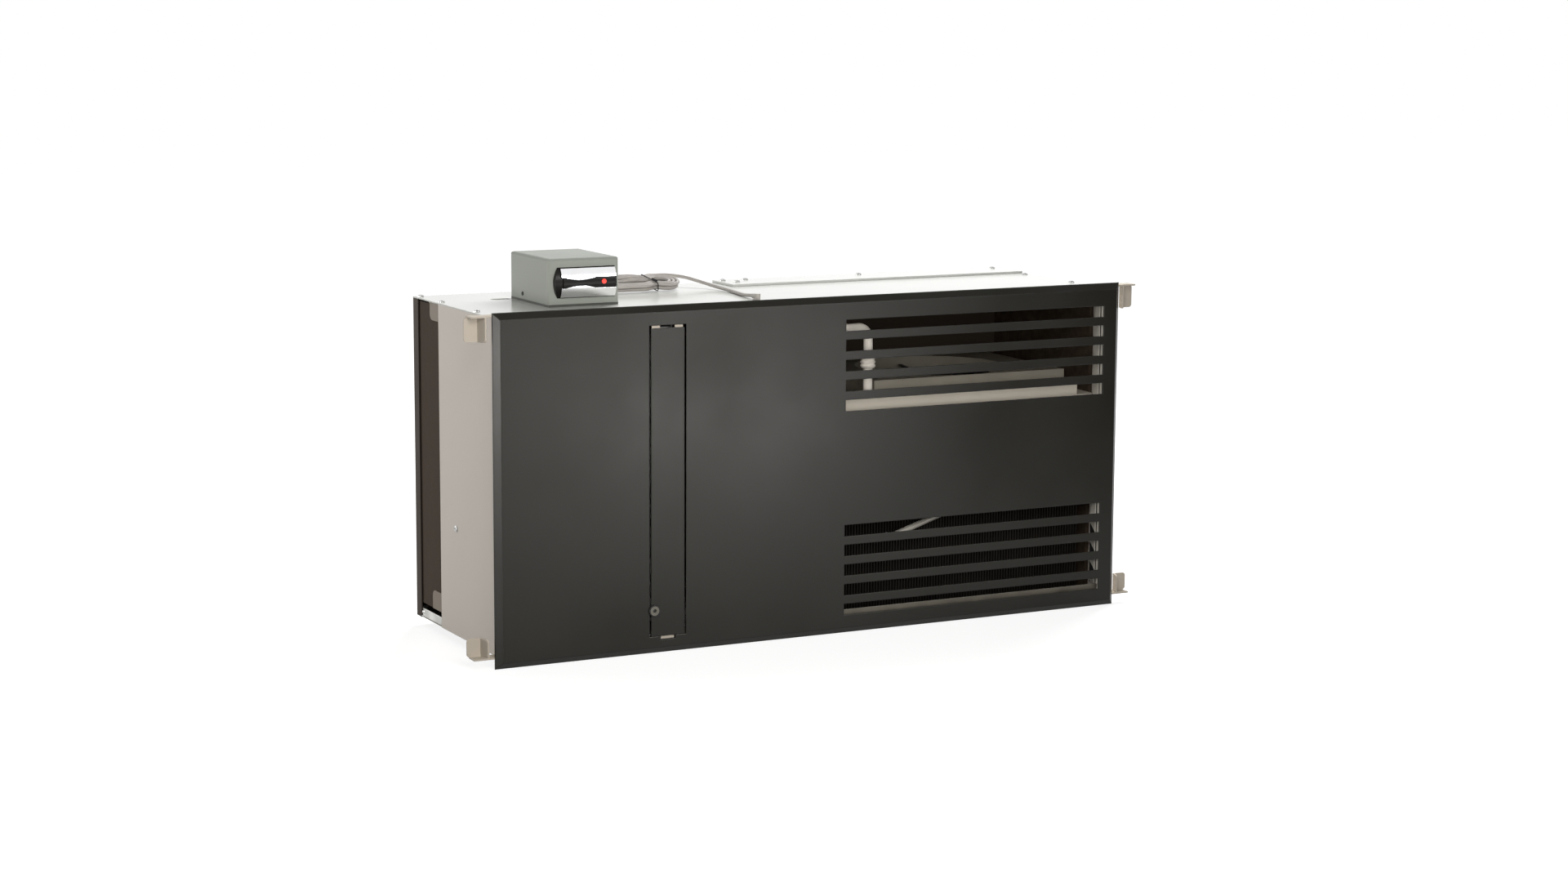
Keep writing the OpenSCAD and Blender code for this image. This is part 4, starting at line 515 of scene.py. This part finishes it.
def make_tie():
    """Wire tie round the coiled lead, with its two twisted ends."""
    half = HANK_OUT - WAIST_IN + CABLE_DIA / 2 + TIE_WIRE
    z0 = HANK_LOW - CABLE_DIA / 2 - TIE_WIRE
    z1 = HANK_LOW + HANK_LAYER * (HANK_LAYERS - 1) + CABLE_DIA / 2 + TIE_WIRE

    def place(x, y, z):
        return Vector((HANK_AT[0] + TIE_OFF + x, HANK_AT[1] + y, z + HANK_TILT * (y + HANK_OUT))) * MM

    ring = []
    side, low, high = half - TIE_BEND, z0 + TIE_BEND, z1 - TIE_BEND
    for cy, cz, start in ((side, high, 0), (-side, high, 90), (-side, low, 180), (side, low, 270)):
        for k in range(TIE_BEND_STEPS + 1):
            a = math.radians(start + 90 * k / TIE_BEND_STEPS)
            ring.append(place(0, cy + TIE_BEND * math.cos(a), cz + TIE_BEND * math.sin(a)))
    curve = tube_curve("lead_tie_band", ring, TIE_WIRE * MM, cyclic=True)
    band = piece("lead_tie_band", curve, matte_black)
    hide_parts("cable_tie")
    for end in (0, 1):
        twist = []
        for k in range(TWIST_STEPS + 1):
            t = k / TWIST_STEPS
            a = math.pi * end + 2 * math.pi * TWIST_TURNS * t
            twist.append(place(TWIST_R * math.cos(a), TWIST_FROM - half + TWIST_LENGTH * t,
                               z1 + TWIST_LIFT + TWIST_R * math.sin(a)))
        curve = tube_curve("lead_tie_end", twist, TIE_WIRE * MM)
        piece(f"lead_tie_end_{end}", curve, matte_black)
    return band


lead, lead_length, lead_exit = make_lead()
tie_band = make_tie()


# Evaporator behind the open bay: fine fins on their tubes

FIN_PITCH = 0.0023
FIN_THICK = 0.0003
FIN_INSET = 0.0004
TUBE_ROWS = 12
TUBE_COLUMNS = (0.28, 0.72)
TUBE_R = 0.005
TUBE_SIDES = 20


def make_evaporator():
    low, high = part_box("evaporator_fins")
    bm = bmesh.new()
    y = low.y + FIN_INSET
    while y + FIN_THICK < high.y:
        add_box(bm, (low.x, y, low.z), (high.x, y + FIN_THICK, high.z))
        y += FIN_PITCH
    fins = piece("evaporator_fin_pack", mesh_from(bm, "evaporator_fin_pack"), fin_metal,
                 smooth=False)
    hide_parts("evaporator_fins")
    tubes = bmesh.new()
    lying = Matrix.Rotation(math.pi / 2, 4, "X")
    for row in range(TUBE_ROWS):
        for column in TUBE_COLUMNS:
            z = low.z + (high.z - low.z) * (row + 0.5) / TUBE_ROWS
            x = low.x + (high.x - low.x) * column
            turn = Matrix.Translation((x, (low.y + high.y) / 2, z)) @ lying
            bmesh.ops.create_cone(tubes, cap_ends=True, segments=TUBE_SIDES, radius1=TUBE_R, radius2=TUBE_R,
                                  depth=high.y - low.y, matrix=turn)
    piece("evaporator_tube_rows", mesh_from(tubes, "evaporator_tube_rows"), copper)


make_evaporator()


# Zinc edge strips beside the right ends of the grilles, in millimetres

# OVER and UNDER say how far a strip or a tooth reaches above the head of a slot or below its foot.
SLOT_Z = {"upper": 287.0, "lower": 24.5}
SLOT_COUNT = 5
SLOT_H = 14.5
SLAT_H = 11.0
EDGE_X = (418.3, 419.4)
EDGE_FRONT = (-143.0, -139.2)
EDGE_REAR = (-135.8, -123.5)
EDGE_LOW = 30.0
COMB_OVER = 6.0
COMB_UNDER = 7.0
TOOTH_OVER = 2.5
TOOTH_UNDER = 2.5
TOOTH_BLUNT = 5.6
NOTCH_OVER = 0.5
LADDER_OVER = 4.0
LADDER_UNDER = 6.0
LADDER_RUNG = 4.0
# Black sheets behind the strips, which paint the shade inside the grilles.
SHADE_SHEET_X = (419.45, 420.4)
SHADE_SHEET_Y = (-144.5, -122.0)
SHADE_SHEET_BEVEL = 3.0


def plate(name, outline, span, mat):
    """Flat piece between two values of X, from an outline in Y and Z."""
    bm = bmesh.new()
    near, far = ([bm.verts.new((x * MM, y * MM, z * MM)) for y, z in outline] for x in span)
    bm.faces.new(near)
    bm.faces.new(far)
    for i in range(len(outline)):
        j = (i + 1) % len(outline)
        bm.faces.new((near[i], near[j], far[j], far[i]))
    piece(name, mesh_from(bm, name), mat, smooth=False)


def slots_top(z0):
    """Upper edge of the top slot of a grille whose lowest slot starts at z0."""
    return z0 + (SLOT_COUNT - 1) * (SLOT_H + SLAT_H) + SLOT_H


def comb(z0):
    """Outline in Y and Z of a strip whose rear half is cut into teeth, one behind each slot. The black sheet
    showing through the slanted cuts paints the slats' shadows.
    """
    rear, split, front_end = EDGE_REAR[1], EDGE_REAR[0], EDGE_FRONT[1]
    top = slots_top(z0) + COMB_OVER
    points = [(EDGE_FRONT[0], EDGE_LOW), (EDGE_FRONT[0], top), (rear, top)]
    for i in range(SLOT_COUNT - 1, -1, -1):
        foot = z0 + i * (SLOT_H + SLAT_H)
        head = foot + SLOT_H
        if i == SLOT_COUNT - 1:
            points += [(rear, foot - COMB_UNDER), (split, foot - COMB_UNDER)]
        else:
            blunt, point = head - TOOTH_BLUNT, foot - TOOTH_UNDER
            points += [(front_end, head + TOOTH_OVER), (rear, head + TOOTH_OVER), (rear, blunt)]
            if point < EDGE_LOW:
                share = (blunt - EDGE_LOW) / (blunt - point)
                points += [(rear + (split - rear) * share, EDGE_LOW), (split, EDGE_LOW)]
            else:
                points += [(split, point)]
        points += [(split, head + NOTCH_OVER), (front_end, head + NOTCH_OVER)]
    return points + [(front_end, EDGE_LOW)]


def ladder(z0):
    """Outline of two straight strips that are joined below the slots."""
    low, top = z0 - LADDER_UNDER, slots_top(z0) + LADDER_OVER
    rung = low + LADDER_RUNG
    return [(EDGE_FRONT[0], low), (EDGE_FRONT[0], top), (EDGE_FRONT[1], top), (EDGE_FRONT[1], rung),
            (EDGE_REAR[0], rung), (EDGE_REAR[0], top), (EDGE_REAR[1], top), (EDGE_REAR[1], low)]


def make_edge_strips():
    """Straight strips at the upper grille and a toothed one at the lower grille, on black sheets that paint
    the shade inside the grilles.
    """
    front, rear = SHADE_SHEET_Y
    for name, z0 in SLOT_Z.items():
        outline = ladder(z0) if name == "upper" else comb(z0)
        plate(f"{name}_grille_edge", outline, EDGE_X, edge_zinc)
        heights = [z for _, z in outline]
        low, top = min(heights), max(heights)
        # Black sheet behind the strip: painted shade inside the grille.
        shade_sheet = [(front, low), (rear, low), (rear, top - SHADE_SHEET_BEVEL), (rear - SHADE_SHEET_BEVEL, top), (front, top)]
        plate(f"{name}_edge_shade_sheet", shade_sheet, SHADE_SHEET_X, rubber)


make_edge_strips()


# Turned small parts, in millimetres

# A profile lists radii and heights. The rim's and the ridges' radii are counted from that of the solid
# inside, and a ridge's heights from its middle.
LATHE_STEPS = 32
LOCK_RIM = [(-1.1, -2.4), (0.4, -2.4), (0.4, -0.7), (-0.1, 0.2), (-1.1, 0.2)]
# The black insert at the bottom of the screw's socket paints the shade inside it.
LOCK_SOCKET_SHADE = [(2.6, -1.5), (2.6, -1.1), (1.2, -0.8), (1.0, -1.0)]
SOCKET_SIDES = 6
RIDGE_COUNT = 3
RIDGE = [(0.2, -1.6), (1.3, -0.9), (1.3, 0.9), (0.2, 1.6)]
SLEEVE_SKIN = 0.2
SLEEVE_INSET = 0.3


def lathe(name, profile, centre, mat, body=ROOT, steps=LATHE_STEPS, front=False, ring=False):
    """Turned piece about a centre in metres, upright or facing the front, capped or as a closed ring."""
    bm = bmesh.new()
    centre = Vector(centre)
    loops = []
    for radius, height in profile:
        loop = []
        for k in range(steps):
            a = 2 * math.pi * k / steps
            across, along = radius * MM * math.cos(a), radius * MM * math.sin(a)
            offset = (across, -height * MM, along) if front else (across, along, height * MM)
            loop.append(bm.verts.new(centre + Vector(offset)))
        loops.append(loop)
    pairs = list(zip(loops, loops[1:]))
    if ring:
        pairs.append((loops[-1], loops[0]))
    for low, high in pairs:
        for k in range(steps):
            j = (k + 1) % steps
            bm.faces.new((low[k], low[j], high[j], high[k]))
    if not ring:
        bm.faces.new(loops[0])
        bm.faces.new(loops[-1])
    return piece(name, mesh_from(bm, name), mat, body, smooth=False)


def make_lock_trim():
    """Black washer round the retaining screw, and a black insert in its socket that paints the shade at the
    socket's bottom.
    """
    low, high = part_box("retaining_screw")
    r = (high.x - low.x) / 2 / MM
    centre = ((low.x + high.x) / 2, low.y, (low.z + high.z) / 2)
    rim = [(r + beyond, height) for beyond, height in LOCK_RIM]
    lathe("lock_washer", rim, centre, matte_black, "lock", front=True, ring=True)
    lathe("lock_socket", LOCK_SOCKET_SHADE, centre, matte_black, "lock", SOCKET_SIDES, front=True)


def make_coupling():
    """Ridged sleeve on the suction line, where the white pipe is joined."""
    low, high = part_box("line_coupling")
    r = (high.x - low.x) / 2 / MM
    h = (high.z - low.z) / MM
    middles = [h * (k + 0.5) / RIDGE_COUNT for k in range(RIDGE_COUNT)]
    ridges = [(r + beyond, z + height) for z in middles for beyond, height in RIDGE]
    profile = [(r + SLEEVE_SKIN, SLEEVE_INSET), *ridges, (r + SLEEVE_SKIN, h - SLEEVE_INSET)]
    centre = ((low.x + high.x) / 2, (low.y + high.y) / 2, low.z)
    lathe("coupling_ridges", profile, centre, white_foam)


# Open bay of the left side, in millimetres

# OFF says how far the pad keeps from what lies round it.
BAY_WIDTH = 88.0
PAD_OFF_WALL = 0.8
PAD_OFF_COIL = 0.7
PAD_OFF_REAR = 0.5
PAD_OFF_PAN = 1.0
PAD_OFF_COVER = 2.5
LIP_OUT = 2.0
LIP_DROP = 17.0
STUD_AT = (-432.5, 129.0, 13.5)
STUD_STEPS = 24
STUD = [(3.4, 0), (3.4, 1.2), (2.0, 1.8), (2.0, 3.6), (2.9, 4.2), (2.9, 6.4), (2.2, 7.2)]


def make_bay_pad():
    """Brown pad over the opening of the bay, with a lip at its top behind the side panel."""
    pan_low, pan_high = (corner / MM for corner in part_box("base_pan"))
    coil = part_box("evaporator_fins")[0].x / MM
    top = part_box("top_cover")[0].z / MM - PAD_OFF_COVER
    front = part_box("rear_panel")[1].y / MM - BAY_WIDTH
    rear, foot = pan_high.y - PAD_OFF_REAR, pan_high.z + PAD_OFF_PAN
    outline = [(rear, foot), (rear, top), (front - LIP_OUT, top), (front - LIP_OUT, top - LIP_DROP),
               (front, top - LIP_DROP - LIP_OUT), (front, foot)]
    plate("bay_seal", outline, (pan_low.x + PAD_OFF_WALL, coil - PAD_OFF_COIL), pad_brown)


def make_bay_stud():
    """Bright grooved stud on the floor of the bay."""
    lathe("bay_stud", STUD, Vector(STUD_AT) * MM, steel, steps=STUD_STEPS)


make_bay_pad()
make_lock_trim()
make_coupling()
make_bay_stud()


# Stage: pale floor, white surroundings, dark cards for the reflections, and soft lamps

# The floor's glow grows from the part outwards, over the distances of FLOOR_RAMP.
WORLD_LIGHT = 0.13
FLOOR_HALF = 9.0
FLOOR_ALBEDO = 0.3
FLOOR_NEAR = 0.83
FLOOR_MIRRORED = 0.3
FLOOR_RAMP = (0.5, 3.2)
CARD_DARK = (0.008, 0.008, 0.008)
CARD_LIGHT = (0.014, 0.014, 0.014)
CARD_GRAIN = 6
CARD_ROUGH = 0.9
CARDS = {
    "card_right": ((0.52, -0.7, 0.0), (1.9, -0.75, 0.0), (1.9, -0.75, 1.2), (0.52, -0.7, 1.2)),
    "card_above": ((-0.5, -0.8, 1.7), (1.9, -0.8, 1.7), (1.9, 0.05, 2.0), (-0.5, 0.05, 2.0)),
}
WHITE = (1, 1, 1)
WARM = (1, 0.98, 0.95)
# Each lamp has its name, place, aim, size, watts and colour, and says what it lights.
LAMPS = [
    ("side_rear", (-2.0, 2.2, 0.9), (-0.44, 0.0, 0.2), (1.2, 1.2), 12, WARM, "all"),
    ("side_low", (-2.4, 1.3, 0.35), (-0.44, 0.0, 0.2), (0.8, 0.5), 20, WARM, "all"),
    ("front", (-0.4, -1.45, 0.55), (-0.2, -0.14, 0.2), (0.6, 0.4), 10, WARM, "paint"),
    ("front_high", (-0.7, -1.5, 1.2), (-0.2, -0.14, 0.3), (0.7, 0.5), 10, WARM, "paint"),
    ("sheen", (0.45, -1.5, 0.12), (0.1, -0.14, 0.2), (0.5, 0.25), 3, WARM, "sheen"),
    ("edge", (-1.7, -0.76, 0.25), (-0.44, -0.14, 0.4), (0.2, 0.3), 7, WARM, "sheen"),
    ("bend", (0.9, -2.3, 1.3), (0.0, -0.14, 0.4), (0.6, 0.5), 16, WHITE, "sheen"),
    ("overhead", (1.3, 1.3, 2.0), (0.2, 0.0, 0.4), (1.8, 1.2), 108, WHITE, "paint"),
]


def white_rays(tree):
    """1 for rays that see the surroundings: from the camera, by reflection or through glass."""
    path = tree.nodes.new("ShaderNodeLightPath")
    seen = arith(tree, "MAXIMUM", path.outputs["Is Camera Ray"], path.outputs["Is Transmission Ray"])
    return arith(tree, "MAXIMUM", seen, path.outputs["Is Glossy Ray"])


def floor_material():
    """Matte floor that keeps a shadow. Its own glow makes it white in the picture, from FLOOR_NEAR by
    the part to 1 far away, and it is weaker in reflections, from FLOOR_MIRRORED to 1."""
    mat = bpy.data.materials.new("studio_floor")
    mat.use_nodes = True
    tree = mat.node_tree
    tree.nodes.clear()
    out = tree.nodes.new("ShaderNodeOutputMaterial")
    place = tree.nodes.new("ShaderNodeTexCoord").outputs["Object"]
    away = tree.nodes.new("ShaderNodeVectorMath")
    away.operation = "LENGTH"
    tree.links.new(place, away.inputs[0])
    pictured, reflected = (
        spread(tree, away.outputs["Value"], *FLOOR_RAMP, near, 1.0) for near in (FLOOR_NEAR, FLOOR_MIRRORED)
    )
    glow = tree.nodes.new("ShaderNodeEmission")
    glow.inputs["Color"].default_value = (*WHITE, 1)
    path = tree.nodes.new("ShaderNodeLightPath")
    seen = arith(tree, "MULTIPLY", path.outputs["Is Camera Ray"], pictured)
    bounced = arith(tree, "MAXIMUM", path.outputs["Is Glossy Ray"], path.outputs["Is Transmission Ray"])
    mirrored = arith(tree, "MULTIPLY", bounced, reflected)
    tree.links.new(arith(tree, "MAXIMUM", seen, mirrored), glow.inputs["Strength"])
    matte = tree.nodes.new("ShaderNodeBsdfDiffuse")
    matte.inputs["Color"].default_value = (FLOOR_ALBEDO, FLOOR_ALBEDO, FLOOR_ALBEDO, 1)
    both = tree.nodes.new("ShaderNodeAddShader")
    tree.links.new(glow.outputs[0], both.inputs[0])
    tree.links.new(matte.outputs[0], both.inputs[1])
    tree.links.new(both.outputs[0], out.inputs["Surface"])
    return mat


def make_floor():
    bm = bmesh.new()
    corners = ((-1, -1), (1, -1), (1, 1), (-1, 1))
    bm.faces.new([bm.verts.new((x * FLOOR_HALF, y * FLOOR_HALF, 0)) for x, y in corners])
    mesh = mesh_from(bm, "studio_floor")
    mesh.materials.append(floor_material())
    floor = bpy.data.objects.new("studio_floor", mesh)
    bpy.context.scene.collection.objects.link(floor)


def make_world():
    world = bpy.data.worlds.new("studio_world")
    bpy.context.scene.world = world
    world.use_nodes = True
    tree = world.node_tree
    tree.nodes.clear()
    out = tree.nodes.new("ShaderNodeOutputWorld")
    back = tree.nodes.new("ShaderNodeBackground")
    back.inputs["Color"].default_value = (*WHITE, 1)
    tree.links.new(spread(tree, white_rays(tree), 0, 1, WORLD_LIGHT, 1), back.inputs["Strength"])
    tree.links.new(back.outputs[0], out.inputs["Surface"])


def card_material():
    mat, tree, bsdf = shader("black_card")
    place = tree.nodes.new("ShaderNodeTexCoord").outputs["Object"]
    base = mix_colour(tree, noise(tree, place, CARD_GRAIN), CARD_DARK, CARD_LIGHT)
    tree.links.new(base, bsdf.inputs["Base Color"])
    bsdf.inputs["Roughness"].default_value = CARD_ROUGH
    bsdf.inputs["Specular IOR Level"].default_value = 0.0
    return mat


def card(name, corners, mat):
    """Black studio card that only reflections see."""
    bm = bmesh.new()
    bm.faces.new([bm.verts.new(c) for c in corners])
    mesh = mesh_from(bm, name)
    mesh.materials.append(mat)
    obj = bpy.data.objects.new(name, mesh)
    bpy.context.scene.collection.objects.link(obj)
    obj.visible_camera = False
    obj.visible_diffuse = False
    obj.visible_shadow = False
    obj.visible_transmission = False


def lamp(name, at, aim, size, power, colour, lights):
    """Soft lamp that lights all, only the paint itself or only its sheen."""
    data = bpy.data.lights.new(name, "AREA")
    data.shape = "RECTANGLE"
    data.size, data.size_y = size
    data.energy = power
    data.color = colour
    obj = bpy.data.objects.new(name, data)
    bpy.context.scene.collection.objects.link(obj)
    obj.visible_camera = False
    obj.visible_glossy = lights != "paint"
    obj.visible_diffuse = lights != "sheen"
    obj.location = at
    obj.rotation_euler = (Vector(aim) - Vector(at)).to_track_quat("-Z", "Y").to_euler()


make_floor()
make_world()
black = card_material()
for name, corners in CARDS.items():
    card(name, corners, black)
for settings in LAMPS:
    lamp(*settings)

bpy.context.scene.view_settings.view_transform = "Standard"
